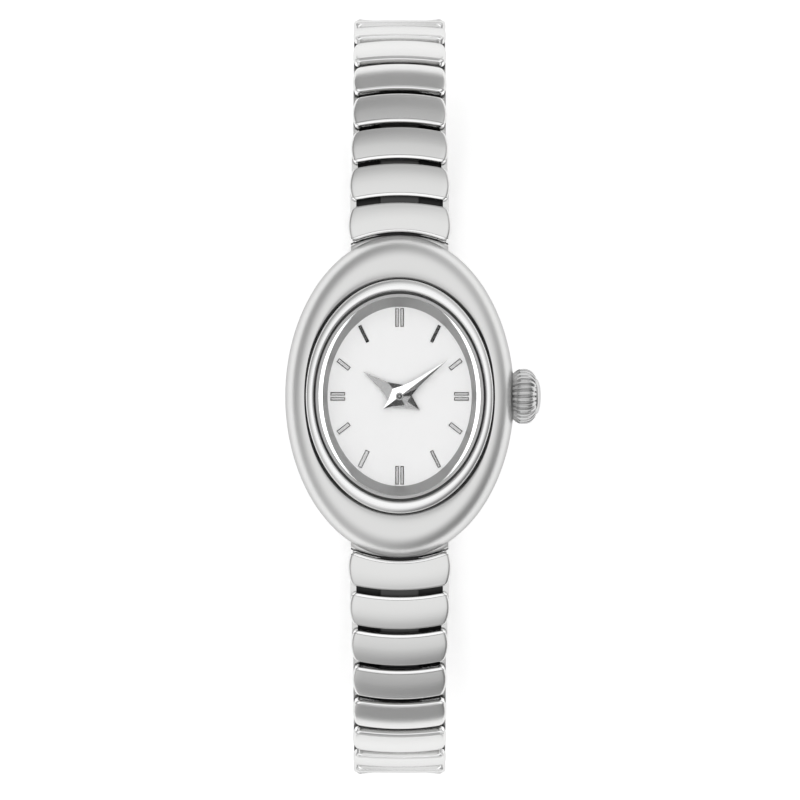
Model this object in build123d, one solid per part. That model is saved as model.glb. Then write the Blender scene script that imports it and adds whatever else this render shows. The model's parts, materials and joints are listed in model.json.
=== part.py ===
from build123d import *
import math
import os

# Oval dress watch on a stretch bracelet, worn by a woman.
# The frame: +Z is the way the dial faces, +Y points to twelve o'clock and +X to the crown.
# The origin is the centre of the case back's outer flat face. All lengths are millimetres.

# Fits shared by many pieces
press_clearance = 0.01
slide_clearance = 0.03
seat_clearance = 0.05
cut_overrun = 1.0

# Heights, stacked up from the case back's outer face
back_thickness = 0.45
battery_gap = 0.45
battery_low = back_thickness + battery_gap
bridge_step = 0.02
bridge_low = battery_low + bridge_step
bridge_thickness = 0.2
rotor_gap = 0.08
rotor_low = bridge_low + bridge_thickness + rotor_gap
lower_wheel_step = 0.1
lower_plane = rotor_low + lower_wheel_step
train_height = 0.6
plate_low = lower_plane + train_height
wheel_drop = 0.28
wheel_plane = plate_low - wheel_drop
ring_overhang = 0.65
ring_low = plate_low - ring_overhang
plate_thickness = 1.4
plate_top = plate_low + plate_thickness
stem_drop = 0.3
case_mid_height = plate_top - stem_drop
motion_gap = 0.06
motion_plane = plate_top + motion_gap
motion_step = 0.2
hour_plane = motion_plane + motion_step
motion_height = 0.5
dial_low = plate_top + motion_height
ring_top = dial_low - seat_clearance
dial_thickness = 0.4
dial_top = dial_low + dial_thickness
hand_gap = 0.3
hour_hand_low = dial_top + hand_gap
hand_step = 0.34
minute_hand_low = hour_hand_low + hand_step
flange_height = 1.2
crystal_low = dial_top + flange_height
crystal_thickness = 1.1
crystal_top = crystal_low + crystal_thickness
bezel_seat_height = crystal_low + seat_clearance
bezel_rise = 1.27
bezel_crest_height = bezel_seat_height + bezel_rise
case_crest_rise = 0.85
case_crest_height = bezel_seat_height + case_crest_rise

# Case body: a smooth oval ring with a steep side wall and a round shoulder that rises to the bezel seam
case_half_width = 10.55
case_half_length = 14.84
case_crest_inset_x = 1.82
case_crest_inset_y = 2.25
case_wall_lean = 0.18
case_wall_height = 1.1
case_inner_fall = 0.32
case_bore_half_width = 7.9
case_bore_half_length = 10.0

# Lug blocks at both ends of the case
lug_half_width = 4.7
lug_reach = 15.0
lug_bow = 0.9
lug_drop = 1.7
lug_low = case_mid_height - lug_drop
lug_height = 2.0
lug_top = lug_low + lug_height
lug_root = 11.6
lug_edge_radius = 0.22
lug_corner_radius = 0.3
lug_pocket_half_width = 3.75
lug_pocket_floor = 0.3
lug_pocket_low = lug_low + lug_pocket_floor
lug_pocket_roof = 0.35
lug_pocket_top = lug_top - lug_pocket_roof
lug_pocket_start = 13.1

# Case back
back_half_width = 8.9
back_half_length = 12.2
back_edge_radius = 0.15
back_plug_half_width = 8.2
back_plug_half_length = 10.9
back_plug_height = 0.6
back_plug_wall = 0.5
gasket_width = 0.32
gasket_height = 0.3

# Bezel
bezel_half_width = 8.62
bezel_half_length = 10.71
bezel_inner_half_width = 7.70
bezel_inner_half_length = 9.38
bezel_section_shares = ((0.0, 0.0), (0.0, 0.295), (0.02, 0.427), (0.1, 0.713),
                        (0.3, 0.96), (0.55, 1.0), (0.8, 0.93), (0.99, 0.65))
bezel_neck_wall = 0.5
bezel_neck_height = 0.75
bezel_neck_stretch = 0.26

# Crystal and the sloping flange under it
crystal_bevel = 0.12
flange_inner_half_width = 6.62
flange_inner_half_length = 8.23
flange_rim = 0.2

# Dial
dial_half_width = 7.85
dial_half_length = 9.95
dial_hole_radius = 0.62
dial_foot_radius = 0.3
dial_foot_length = 0.9
dial_foot_x = 5.2
dial_foot_y = 4.6

# Hour markers: single batons and double batons at the quarters
marker_height = 0.18
marker_edge_radius = 0.03
baton_width = 0.3
baton_length = 1.70
side_baton_length = 1.34
corner_baton_width = 0.27
double_gap = 0.22
baton_12_centre_y = 7.25
baton_3_centre_x = 5.68
baton_1_centre = (3.30, 5.75)
baton_1_turn = 26.0
baton_2_centre = (5.14, 2.93)
baton_2_turn = 52.0

# Hands, with the time of the photograph: eight minutes and forty eight seconds past ten
minute_angle = 52.8
hour_angle = 304.2
hour_hand_length = 4.02
hour_hand_tail = 2.23
hour_hand_half_width = 1.18
minute_hand_length = 5.5
minute_hand_tail = 1.9
minute_hand_half_width = 0.95
hand_waist_share = 0.42
hand_waist_width_share = 0.36
hand_base = 0.07
hand_ridge = 0.2
hand_cap_radius = 0.36
hand_cap_height = 0.34
hand_cap_edge_radius = 0.09

# Crown, its tube, seal and stem
crown_radius = 2.52
crown_end_radius = 2.3
crown_sink = 0.2
crown_start = case_half_width - crown_sink
crown_barrel_length = 2.2
crown_crest_share = 0.48
crown_cap_radius = 1.5
crown_cap_height = 0.48
crown_bevel = 0.18
crown_flutes = 26
crown_rib_shares = ((0.0, 0.935), (0.18, 0.985), (0.34, 1.01), (0.66, 1.01), (0.82, 0.985))
crown_spot_radius = 2.75
crown_spot_clearance = 0.1
crown_bore_radius = 1.2
crown_bore_depth = 1.6
crown_travel = 0.8
tube_outer_radius = 0.8
tube_inner_radius = 0.45
tube_start = 8.05
seal_radius = 0.17
seal_inset = 0.25
seal_place = crown_start + seal_inset
tube_reach = seal_place + crown_travel + seal_radius + seat_clearance
stem_radius = 0.3
stem_inner_end = 2.9
stem_grip = 0.45
clutch_teeth = 10
clutch_radius = 0.5
clutch_length = 0.6
clutch_start = 3.75

# Movement: holding ring, main plate, bridge and screws
plate_half_width = 6.9
plate_half_length = 8.4
stem_slot_half_width = 0.7
stem_slot_depth = 0.75
bridge_margin = 0.55
pillar_spots = ((-4.35, 4.3), (1.9, 3.6), (1.85, -1.55))
pillar_radius = 0.5
screw_radius = 0.22
screw_head_radius = 0.42
screw_head_height = 0.16
screw_slot = 0.1
screw_pilot_depth = 0.5

# Battery and its clamp
battery_radius = 2.9
battery_y = -5.05
battery_height = 1.6
battery_rim = 0.35
battery_step = 0.2
clamp_half_width = 0.7
clamp_reach = 3.75
clamp_thickness = 0.12
clamp_foot = 0.55
clamp_offset_share = 0.35

# Motor: coil, stator and rotor
coil_x = 4.2
coil_y = 2.55
coil_radius = 0.62
coil_core_radius = 0.3
coil_half_length = 1.75
coil_flange_radius = 0.78
coil_flange_thickness = 0.2
stator_thickness = 0.28
stator_half_width = 1.2
rotor_magnet_radius = 0.8
rotor_magnet_height = 0.38
air_gap = 0.12

# Circuit board on the other side of the plate
board_half_width = 1.15
board_half_length = 2.3
board_x = -5.0
board_y = 0.4
board_thickness = 0.2
quartz_radius = 0.42
quartz_length = 2.6
chip_side = 1.1
chip_height = 0.3

# Gear train: tooth counts give sixty and twelve to one, modules give the distances
rotor_teeth = 8
step_teeth = 48
step_pinion_teeth = 8
third_teeth = 40
third_pinion_teeth = 10
centre_teeth = 30
cannon_teeth = 10
minute_teeth = 30
minute_pinion_teeth = 8
hour_teeth = 32
setting_teeth = 16
centre_module = 0.12
third_module = 0.09
step_module = 0.07
motion_module = 0.10
wheel_thickness = 0.14
tooth_tip_share = 0.9
tooth_root_share = 1.25
tooth_width_share = 0.42
arbor_radius = 0.12
pivot_radius = 0.07
wheel_hole_place_share = 0.55
wheel_hole_share = 0.24
jewel_depth_share = 0.2
arbor_seat_share = 1.5
stem_pin_share = 0.5
third_direction = 125.0
step_direction = 100.0
rotor_direction = 60.0
minute_wheel_direction = -60.0
hour_pipe_radius = 0.46
hour_pipe_bore = 0.36
cannon_radius = 0.3

# Bracelet: equal pitch along a loop that leaves the case level and closes under the wrist
link_pitch = 3.46
links_per_side = 20
single_links = 8
paired_links = 2
bar_z = (lug_pocket_low + lug_pocket_top) / 2
first_link_y = 16.5
first_link_rise = 0.125
first_link_z = bar_z + first_link_rise
first_link_tilt = 3.0
upper_turn = 1.4
upper_turn_gain = 0.075
flattest_exponent = 1.0
sharpest_exponent = 4.0
exponent_halvings = 50
cover_length = 3.04
first_cover_length = 2.76
cover_bow = 0.48
cover_end_bulge = 0.34
cover_low = 0.0
cover_edge_near = 0.5
cover_edge_far = 0.36
cover_crest = 0.95
cover_crest_share = 0.42
cover_edge_radius = 0.13
cover_corner_radius = 0.3
cover_pocket_length = 1.8
cover_pocket_height = 0.36
cover_pocket_wall = 0.75
link_half_width = 4.35
link_widening_shares = (1.085, 1.06, 1.03)
cover_rim = (cover_length - cover_pocket_length) / 2
upright_share = 0.2
stretch_travel = 0.8
tray_thickness = 0.22
tray_depth = 0.95
tray_inset = 0.12
tray_hold = 0.34
tray_entry = cover_length / 2 - stretch_travel - tray_hold
tray_root = 0.38
tray_edge_radius = 0.07
first_tray_end = 0.1
post_thickness = 0.34
post_width = 0.55
strap_half_width = 1.75
strap_thickness = 0.3
strap_offset = 0.25
strap_hold = 0.22
strap_entry = cover_length / 2 - stretch_travel - strap_hold
strap_root = 0.18
clip_width = 0.55
clip_inset = 0.06
leaf_half_length = 3.0
leaf_width = 0.9
leaf_thickness = 0.1
leaf_bow = 0.2
bar_radius = 0.4
bar_half_length = 4.3
bar_y = 13.9
bar_knuckle_radius = 0.62
connector_half_width = 3.5


def oval(half_width, half_length, low, high):
    """An upright oval block between two heights."""
    return Pos(0, 0, low) * extrude(Ellipse(half_width, half_length), high - low)


def oval_ring(outer, inner, low, high):
    """An upright oval ring, from its outer and inner half sizes."""
    block = oval(outer[0], outer[1], low, high)
    return block - oval(inner[0], inner[1], low - cut_overrun, high + cut_overrun)


def disc(centre, radius, low, high):
    """An upright round block about a point of the plan."""
    return Pos(centre[0], centre[1], low) * extrude(Circle(radius), high - low)


def rod_x(radius, start, end, y=0.0, z=0.0):
    """A round rod along X."""
    return Pos(start, y, z) * extrude(Plane.YZ * Circle(radius), end - start)


def block(low, high):
    """A block between two opposite corners."""
    size = [top - bottom for bottom, top in zip(low, high)]
    centre = [(top + bottom) / 2 for bottom, top in zip(low, high)]
    return Pos(*centre) * Box(*size)


def both_ends(shape):
    """A shape and its mirror image at the six o'clock end."""
    return [shape, mirror(shape, Plane.XZ)]


def at_angle(distance, degrees, start=(0.0, 0.0)):
    """A point of the plan at a distance and direction from another."""
    turn = math.radians(degrees)
    return (start[0] + distance * math.cos(turn), start[1] + distance * math.sin(turn))


def save(shapes, name):
    """Write one node, a single solid or a group of separate solids."""
    solids = []
    for shape in shapes if isinstance(shapes, list) else [shapes]:
        solids.extend(shape.solids())
    result = solids[0] if len(solids) == 1 else Compound(children=solids)
    export_step(result, f"parts/{name}.step")


# Case body and lugs

def case_sections():
    """Oval sections of the case's outer surface, from the back edge over the crest to the bezel seam."""
    sections = []
    base_z = back_thickness
    for tilt in (90, 62, 34):
        inward = math.cos(math.radians(tilt))
        sections.append((
            back_half_width + (case_half_width - back_half_width) * inward,
            back_half_length + (case_half_length - back_half_length) * inward,
            case_mid_height - (case_mid_height - base_z) * math.sin(math.radians(tilt))))
    sections.append((case_half_width, case_half_length, case_mid_height))
    crest_x = case_half_width - case_crest_inset_x
    crest_y = case_half_length - case_crest_inset_y
    shoulder = case_mid_height + case_wall_height
    for tilt in (0, 24, 46, 68, 90):
        outward = math.cos(math.radians(tilt))
        sections.append((
            crest_x + (case_crest_inset_x - case_wall_lean) * outward,
            crest_y + (case_crest_inset_y - case_wall_lean) * outward,
            shoulder + (case_crest_height - shoulder) * math.sin(math.radians(tilt))))
    for share in (0.35, 0.7, 1.0):
        sections.append((
            crest_x - (crest_x - bezel_half_width) * share,
            crest_y - (crest_y - bezel_half_length) * share,
            case_crest_height - case_inner_fall * share ** 2))
    return sections


def lug_block():
    """The block that carries the bracelet at the twelve o'clock end."""
    side = lug_half_width
    corner = lug_reach - lug_bow
    outline = make_face(Wire([
        Line((side, lug_root), (side, corner)),
        ThreePointArc((side, corner), (0, lug_reach), (-side, corner)),
        Line((-side, corner), (-side, lug_root)),
        Line((-side, lug_root), (side, lug_root))]))
    lug = Pos(0, 0, lug_low) * extrude(outline, lug_top - lug_low)
    corners = lug.edges().filter_by(Axis.Z).filter_by(lambda edge: edge.center().Y > lug_root + lug_bow)
    lug = fillet(corners, lug_corner_radius)
    return fillet(lug.edges().group_by(Axis.Z)[-1], lug_edge_radius)


def case_body():
    ovals = [Pos(0, 0, z) * Ellipse(half_x, half_y) for half_x, half_y, z in case_sections()]
    body = loft(ovals)
    for lug in both_ends(lug_block()):
        body += lug
    ledge = bezel_seat_height - bezel_neck_height
    plug_top = back_thickness + back_plug_height + seat_clearance
    body -= oval(case_bore_half_width, case_bore_half_length, 0, case_crest_height)
    body -= oval(back_plug_half_width + slide_clearance, back_plug_half_length + slide_clearance,
                 0, plug_top)
    body -= oval(back_plug_half_width + slide_clearance + gasket_width,
                 back_plug_half_length + slide_clearance + gasket_width,
                 0, back_thickness + gasket_height + slide_clearance)
    body -= oval(neck_half_width() + press_clearance, neck_half_length() + press_clearance,
                 ledge, case_crest_height)
    body -= oval(bezel_half_width + slide_clearance, bezel_half_length + slide_clearance,
                 bezel_seat_height, case_crest_height)
    spot = crown_start - crown_spot_clearance
    body -= rod_x(crown_spot_radius, spot, case_half_width + cut_overrun, z=case_mid_height)
    body -= rod_x(tube_outer_radius + press_clearance, 0, case_half_width, z=case_mid_height)
    for side in (1, -1):
        body -= lug_pocket(side)
        body -= rod_x(bar_radius + slide_clearance, -bar_half_length, bar_half_length, side * bar_y, bar_z)
    return body


def lug_pocket(side):
    """The pocket in a lug block that takes the spring bar and the end connector."""
    ys = sorted((side * lug_pocket_start, side * (lug_reach + cut_overrun)))
    return block((-lug_pocket_half_width, ys[0], lug_pocket_low),
                 (lug_pocket_half_width, ys[1], lug_pocket_top))


def case_back():
    plate = oval(back_half_width, back_half_length, 0, back_thickness)
    plate = fillet(plate.edges().group_by(Axis.Z)[0], back_edge_radius)
    inner = (back_plug_half_width - back_plug_wall, back_plug_half_length - back_plug_wall)
    plug = oval_ring((back_plug_half_width, back_plug_half_length), inner,
                     back_thickness, back_thickness + back_plug_height)
    return plate + plug


def back_gasket():
    inner = (back_plug_half_width + press_clearance, back_plug_half_length + press_clearance)
    outer = (inner[0] + gasket_width, inner[1] + gasket_width)
    return oval_ring(outer, inner, back_thickness, back_thickness + gasket_height)


# Bezel, crystal, flange and dial

def neck_half_width():
    return bezel_inner_half_width + bezel_neck_wall


def neck_half_length():
    return bezel_inner_half_length + bezel_neck_wall + bezel_neck_stretch


def bezel():
    """A polished ring with a rounded crest, wider at twelve and six, on a neck that presses in."""
    wide_x = bezel_half_width - bezel_inner_half_width
    wide_y = bezel_half_length - bezel_inner_half_length
    ovals = []
    for inward, upward in bezel_section_shares:
        section = Ellipse(bezel_half_width - wide_x * inward, bezel_half_length - wide_y * inward)
        ovals.append(Pos(0, 0, bezel_seat_height + bezel_rise * upward) * section)
    body = loft(ovals)
    body += oval(neck_half_width(), neck_half_length(), bezel_seat_height - bezel_neck_height,
                 bezel_seat_height)
    return body - oval(bezel_inner_half_width, bezel_inner_half_length, 0, bezel_crest_height + cut_overrun)


def crystal():
    glass = oval(bezel_inner_half_width - seat_clearance, bezel_inner_half_length - seat_clearance,
                 crystal_low, crystal_top)
    return chamfer(glass.edges().group_by(Axis.Z)[-1], crystal_bevel)


def inner_flange():
    outer_x = bezel_inner_half_width - seat_clearance
    outer_y = bezel_inner_half_length - seat_clearance
    slope = loft([
        Pos(0, 0, dial_top) * Ellipse(flange_inner_half_width, flange_inner_half_length),
        Pos(0, 0, crystal_low) * Ellipse(outer_x - flange_rim, outer_y - flange_rim)])
    return oval(outer_x, outer_y, dial_top, crystal_low) - slope


def dial():
    plate = oval(dial_half_width, dial_half_length, dial_low, dial_top)
    plate -= disc((0, 0), dial_hole_radius, dial_low, dial_top)
    for x, y in dial_foot_places():
        plate += disc((x, y), dial_foot_radius, dial_low - dial_foot_length, dial_low)
    return plate


def dial_foot_places():
    return [(-dial_foot_x, dial_foot_y), (dial_foot_x, -dial_foot_y)]


def baton(centre, turn, width, length):
    """One applied baton, its long side turned clockwise from twelve."""
    bar = Box(width, length, marker_height, align=(Align.CENTER, Align.CENTER, Align.MIN))
    bar = fillet(bar.edges().group_by(Axis.Z)[-1], marker_edge_radius)
    return Pos(centre[0], centre[1], dial_top) * (Rot(0, 0, -turn) * bar)


def hour_markers():
    bars = []
    offset = (double_gap + baton_width) / 2
    for side in (1, -1):
        for shift in (offset, -offset):
            bars.append(baton((shift, side * baton_12_centre_y), 0, baton_width, baton_length))
            bars.append(baton((side * baton_3_centre_x, shift), 90, baton_width, side_baton_length))
        for up in (1, -1):
            x, y = baton_1_centre
            bars.append(baton((side * x, up * y), side * up * baton_1_turn, corner_baton_width, baton_length))
            x, y = baton_2_centre
            turn = side * up * baton_2_turn
            bars.append(baton((side * x, up * y), turn, corner_baton_width, side_baton_length))
    return bars


# Hands

def hand(length, tail, half_width, low, angle, bore):
    """A faceted hand with hollow sides: a thin base under a ridge that peaks at the arbor."""
    waist = half_width * hand_waist_width_share
    points = [(0, length), (waist, length * hand_waist_share), (half_width, 0),
              (waist, -tail * hand_waist_share), (0, -tail), (-waist, -tail * hand_waist_share),
              (-half_width, 0), (-waist, length * hand_waist_share)]
    outline = make_face(Polyline(*points, close=True))
    base = extrude(outline, hand_base)
    top = loft([Pos(0, 0, hand_base) * outline, Vertex(0, 0, hand_base + hand_ridge)], ruled=True)
    shape = base + top
    shape -= disc((0, 0), bore, 0, hand_base + hand_ridge)
    return Pos(0, 0, low) * (Rot(0, 0, -angle) * shape)


def hour_hand():
    return hand(hour_hand_length, hour_hand_tail, hour_hand_half_width, hour_hand_low, hour_angle,
                hour_pipe_radius + press_clearance)


def minute_hand():
    blade = hand(minute_hand_length, minute_hand_tail, minute_hand_half_width, minute_hand_low,
                 minute_angle, cannon_radius / 2)
    cap = disc((0, 0), hand_cap_radius, minute_hand_low, minute_hand_low + hand_cap_height)
    cap = fillet(cap.edges().group_by(Axis.Z)[-1], hand_cap_edge_radius)
    socket = disc((0, 0), cannon_radius + press_clearance, minute_hand_low, minute_hand_low + hand_base)
    return blade + cap - socket


# Crown, tube, seal and stem

def crown_barrel():
    """Fluted barrel: a ribbed bar cut to the barrel's round section."""
    start = crown_start
    crest = start + crown_barrel_length * crown_crest_share
    end = start + crown_barrel_length
    shoulder = end - crown_bevel
    profile = make_face(Wire([
        Line((start, 0), (start, crown_end_radius)),
        ThreePointArc((start, crown_end_radius), (crest, crown_radius), (shoulder, crown_end_radius)),
        Line((shoulder, crown_end_radius), (end, crown_cap_radius + crown_bevel)),
        Line((end, crown_cap_radius + crown_bevel), (end, 0)),
        Line((end, 0), (start, 0))]))
    step = 360 / crown_flutes
    points = []
    for rib in range(crown_flutes):
        for share, radius in crown_rib_shares:
            points.append(at_angle(crown_radius * radius, (rib + share) * step))
    ribs = extrude(Plane.YZ * make_face(Polyline(*points, close=True)), crown_barrel_length)
    return revolve(profile, Axis.X) & (Pos(start, 0, 0) * ribs)


def crown():
    """The winding crown: fluted barrel, low domed cap, and bores for tube and stem."""
    end = crown_start + crown_barrel_length
    tip = end + crown_cap_height
    overlap = crown_barrel_length / 4
    dome_radius = (crown_cap_radius ** 2 + crown_cap_height ** 2) / (2 * crown_cap_height)
    half_turn = math.asin(crown_cap_radius / dome_radius) / 2
    dome_middle = (tip - dome_radius * (1 - math.cos(half_turn)), dome_radius * math.sin(half_turn))
    cap = make_face(Wire([
        Line((end - overlap, 0), (end - overlap, crown_cap_radius)),
        Line((end - overlap, crown_cap_radius), (end, crown_cap_radius)),
        ThreePointArc((end, crown_cap_radius), dome_middle, (tip, 0)),
        Line((tip, 0), (end - overlap, 0))]))
    body = crown_barrel() + revolve(cap, Axis.X)
    body -= rod_x(crown_bore_radius, 0, crown_start + crown_bore_depth)
    body -= rod_x(stem_radius + press_clearance, 0, crown_start + crown_bore_depth + stem_grip)
    return Pos(0, 0, case_mid_height) * body


def crown_tube():
    tube = rod_x(tube_outer_radius, tube_start, tube_reach, z=case_mid_height)
    return tube - rod_x(tube_inner_radius, 0, tube_reach + cut_overrun, z=case_mid_height)


def crown_gasket():
    """The seal ring between the crown's bore and the tube."""
    middle = tube_outer_radius + slide_clearance + seal_radius
    ring = revolve(Pos(seal_place, middle) * Circle(seal_radius), Axis.X)
    return Pos(0, 0, case_mid_height) * ring


def stem():
    rod = rod_x(stem_radius, stem_inner_end, crown_start + crown_bore_depth + stem_grip)
    module = clutch_radius / (clutch_teeth / 2 + tooth_tip_share)
    clutch = Pos(clutch_start, 0, 0) * (Rot(0, 90, 0) * gear(clutch_teeth, module, clutch_length, 0, 0))
    return Pos(0, 0, case_mid_height) * (rod + clutch)


# Gears and arbors

def gear(teeth, module, thickness, low, phase, centre=(0.0, 0.0)):
    """A spur wheel with straight sided teeth. Phase is the direction of one tooth in degrees."""
    tip = module * (teeth / 2 + tooth_tip_share)
    root = module * (teeth / 2 - tooth_root_share)
    step = 360 / teeth
    points = []
    for tooth in range(teeth):
        middle = phase + tooth * step
        for turn, radius in ((-0.5, root), (-0.5 + tooth_width_share / 2, root),
                             (-tooth_width_share / 4, tip), (tooth_width_share / 4, tip),
                             (0.5 - tooth_width_share / 2, root)):
            points.append(at_angle(radius, middle + turn * step))
    outline = make_face(Polyline(*points, close=True))
    return Pos(centre[0], centre[1], low) * extrude(outline, thickness)


def wheel_holes(centre, radius, low):
    """Four lightening holes in a wheel."""
    holes = []
    for turn in range(45, 360, 90):
        place = at_angle(radius * wheel_hole_place_share, turn, centre)
        holes.append(disc(place, radius * wheel_hole_share, low - wheel_thickness, low + wheel_thickness * 2))
    return holes


def distance(module, teeth_a, teeth_b):
    return module * (teeth_a + teeth_b) / 2


def facing(teeth, direction):
    """Phase that puts a gap between teeth in a direction."""
    return direction + 180 / teeth


def third_place():
    return at_angle(distance(centre_module, centre_teeth, third_pinion_teeth), third_direction)


def step_place():
    return at_angle(distance(third_module, third_teeth, step_pinion_teeth), step_direction, third_place())


def rotor_place():
    return at_angle(distance(step_module, step_teeth, rotor_teeth), rotor_direction, step_place())


def minute_place():
    return at_angle(distance(motion_module, cannon_teeth, minute_teeth), minute_wheel_direction)


def setting_place():
    """On the stem's line, in mesh with the minute wheel."""
    x, y = minute_place()
    reach = distance(motion_module, minute_teeth, setting_teeth)
    return (x + math.sqrt(reach ** 2 - y ** 2), 0.0)


def arbor(centre, low, high):
    """A wheel's axle with a thinner pivot at each end."""
    pivot = bridge_thickness
    return (disc(centre, arbor_radius, low + pivot, high - pivot)
            + disc(centre, pivot_radius, low, high))


def jewel_bottom():
    return bridge_low + bridge_thickness * jewel_depth_share


def arbor_top():
    return plate_low + bridge_thickness * arbor_seat_share


def centre_wheel():
    """Centre wheel, its arbor and the cannon pinion that carries the minute hand."""
    wheel = gear(centre_teeth, centre_module, wheel_thickness, wheel_plane, third_direction)
    for hole in wheel_holes((0, 0), centre_module * centre_teeth / 2, wheel_plane):
        wheel -= hole
    post = disc((0, 0), cannon_radius, wheel_plane, minute_hand_low + hand_base)
    lower = disc((0, 0), arbor_radius, jewel_bottom(), wheel_plane)
    cannon = gear(cannon_teeth, motion_module, wheel_thickness, motion_plane, minute_wheel_direction)
    return wheel + post + lower + cannon


def third_wheel():
    centre = third_place()
    wheel = gear(third_teeth, third_module, wheel_thickness, lower_plane, step_direction, centre)
    for hole in wheel_holes(centre, third_module * third_teeth / 2, lower_plane):
        wheel -= hole
    back = third_direction + 180
    pinion = gear(third_pinion_teeth, centre_module, wheel_plane + wheel_thickness - lower_plane,
                  lower_plane, facing(third_pinion_teeth, back), centre)
    return wheel + pinion + arbor(centre, jewel_bottom(), arbor_top())


def step_wheel():
    centre = step_place()
    wheel = gear(step_teeth, step_module, wheel_thickness, wheel_plane, rotor_direction, centre)
    for hole in wheel_holes(centre, step_module * step_teeth / 2, wheel_plane):
        wheel -= hole
    back = step_direction + 180
    pinion = gear(step_pinion_teeth, third_module, wheel_plane + wheel_thickness - lower_plane,
                  lower_plane, facing(step_pinion_teeth, back), centre)
    return wheel + pinion + arbor(centre, jewel_bottom(), arbor_top())


def rotor():
    """The motor's magnet and its pinion."""
    centre = rotor_place()
    magnet = disc(centre, rotor_magnet_radius, rotor_low, rotor_low + rotor_magnet_height)
    pinion = gear(rotor_teeth, step_module, wheel_plane + wheel_thickness - rotor_low,
                  rotor_low, facing(rotor_teeth, rotor_direction + 180), centre)
    return magnet + pinion + arbor(centre, jewel_bottom(), arbor_top())


def minute_wheel():
    centre = minute_place()
    back = minute_wheel_direction + 180
    wheel = gear(minute_teeth, motion_module, wheel_thickness, motion_plane,
                 facing(minute_teeth, back), centre)
    pinion = gear(minute_pinion_teeth, motion_module, hour_plane + wheel_thickness - motion_plane,
                  motion_plane, facing(minute_pinion_teeth, back), centre)
    wheel += pinion + disc(centre, arbor_radius, plate_top - bridge_thickness, motion_plane)
    return wheel


def hour_wheel():
    """Hour wheel and the pipe that carries the hour hand."""
    wheel = gear(hour_teeth, motion_module, wheel_thickness, hour_plane, minute_wheel_direction)
    wheel += disc((0, 0), hour_pipe_radius, hour_plane, hour_hand_low + hand_base)
    return wheel - disc((0, 0), hour_pipe_bore, motion_plane, minute_hand_low)


def setting_wheel():
    centre = setting_place()
    x, y = minute_place()
    toward = math.degrees(math.atan2(y - centre[1], x - centre[0]))
    wheel = gear(setting_teeth, motion_module, wheel_thickness, motion_plane, toward, centre)
    pin = disc(centre, arbor_radius, plate_top - stem_pin_depth(), motion_plane)
    return wheel + pin


def stem_pin_depth():
    """The setting wheel's pin ends above the stem that passes under it."""
    return bridge_thickness * stem_pin_share


# Movement

def movement_ring():
    outer = (case_bore_half_width - slide_clearance, case_bore_half_length - slide_clearance)
    inner = (plate_half_width + slide_clearance, plate_half_length + slide_clearance)
    ring = oval_ring(outer, inner, ring_low, ring_top)
    slot = block((0, -stem_slot_half_width, case_mid_height - stem_slot_depth),
                 (case_bore_half_width, stem_slot_half_width, ring_top + cut_overrun))
    return ring - slot


def train_places():
    return [(0.0, 0.0), third_place(), step_place(), rotor_place()]


def clamp_screw_places():
    edge = clamp_reach - clamp_foot / 2
    return [(edge, battery_y + clamp_offset()), (-edge, battery_y + clamp_offset())]


def clamp_offset():
    """The clamp crosses the battery a little toward the centre of the movement."""
    return battery_radius * clamp_offset_share


def main_plate():
    """Movement plate with its pockets for battery, coil, stem and arbors."""
    plate = oval(plate_half_width, plate_half_length, plate_low, plate_top)
    plate -= disc((0, battery_y), battery_radius + seat_clearance, 0, plate_top + cut_overrun)
    reach = coil_half_length + coil_flange_thickness + seat_clearance
    radius = coil_flange_radius + seat_clearance
    plate -= block((coil_x - radius, coil_y - reach, 0), (coil_x + radius, coil_y + reach, coil_top()))
    plate -= block((stem_inner_end - stem_slot_half_width, -stem_slot_half_width,
                    case_mid_height - stem_slot_depth),
                   (plate_half_width + cut_overrun, stem_slot_half_width, plate_top + cut_overrun))
    plate -= disc((0, 0), cannon_radius + slide_clearance, 0, plate_top + cut_overrun)
    for place in train_places()[1:]:
        plate -= disc(place, arbor_radius + slide_clearance, plate_low, arbor_top())
    plate -= disc(minute_place(), arbor_radius + slide_clearance, plate_top - bridge_thickness, plate_top)
    plate -= disc(setting_place(), arbor_radius + slide_clearance, plate_top - stem_pin_depth(), plate_top)
    for x, y in dial_foot_places():
        plate -= disc((x, y), dial_foot_radius + slide_clearance, dial_low - dial_foot_length
                      - slide_clearance, plate_top)
    pillar_low = bridge_low + bridge_thickness
    for place in pillar_spots:
        plate += disc(place, pillar_radius, pillar_low, plate_low)
        plate -= disc(place, screw_radius + press_clearance, pillar_low, pillar_low + screw_pilot_depth)
    for place in clamp_screw_places():
        low = battery_low
        plate += disc(place, pillar_radius, low, plate_low)
        plate -= disc(place, screw_radius + press_clearance, low, low + screw_pilot_depth)
    return plate


def coil_top():
    return rotor_low + stator_thickness / 2 + coil_flange_radius + seat_clearance


def bridge_outline():
    """A plate over the whole train, with an ear for each screw."""
    shapes = []
    for place in train_places() + list(pillar_spots):
        shapes.append(Pos(place[0], place[1]) * Circle(bridge_margin))
    corner, upper, lower = pillar_spots
    points = [corner, rotor_place(), upper, lower, (0.0, 0.0), third_place()]
    return points, shapes


def train_bridge():
    points, ears = bridge_outline()
    low = bridge_low
    plate = make_face(Polyline(*points, close=True))
    body = Pos(0, 0, low) * extrude(plate, bridge_thickness)
    for ear in ears:
        body += Pos(0, 0, low) * extrude(ear, bridge_thickness)
    for place in train_places():
        body -= disc(place, arbor_radius + slide_clearance, jewel_bottom(), low + bridge_thickness)
    for place in pillar_spots:
        body -= disc(place, screw_radius + slide_clearance, low, low + bridge_thickness)
    return body


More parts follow.
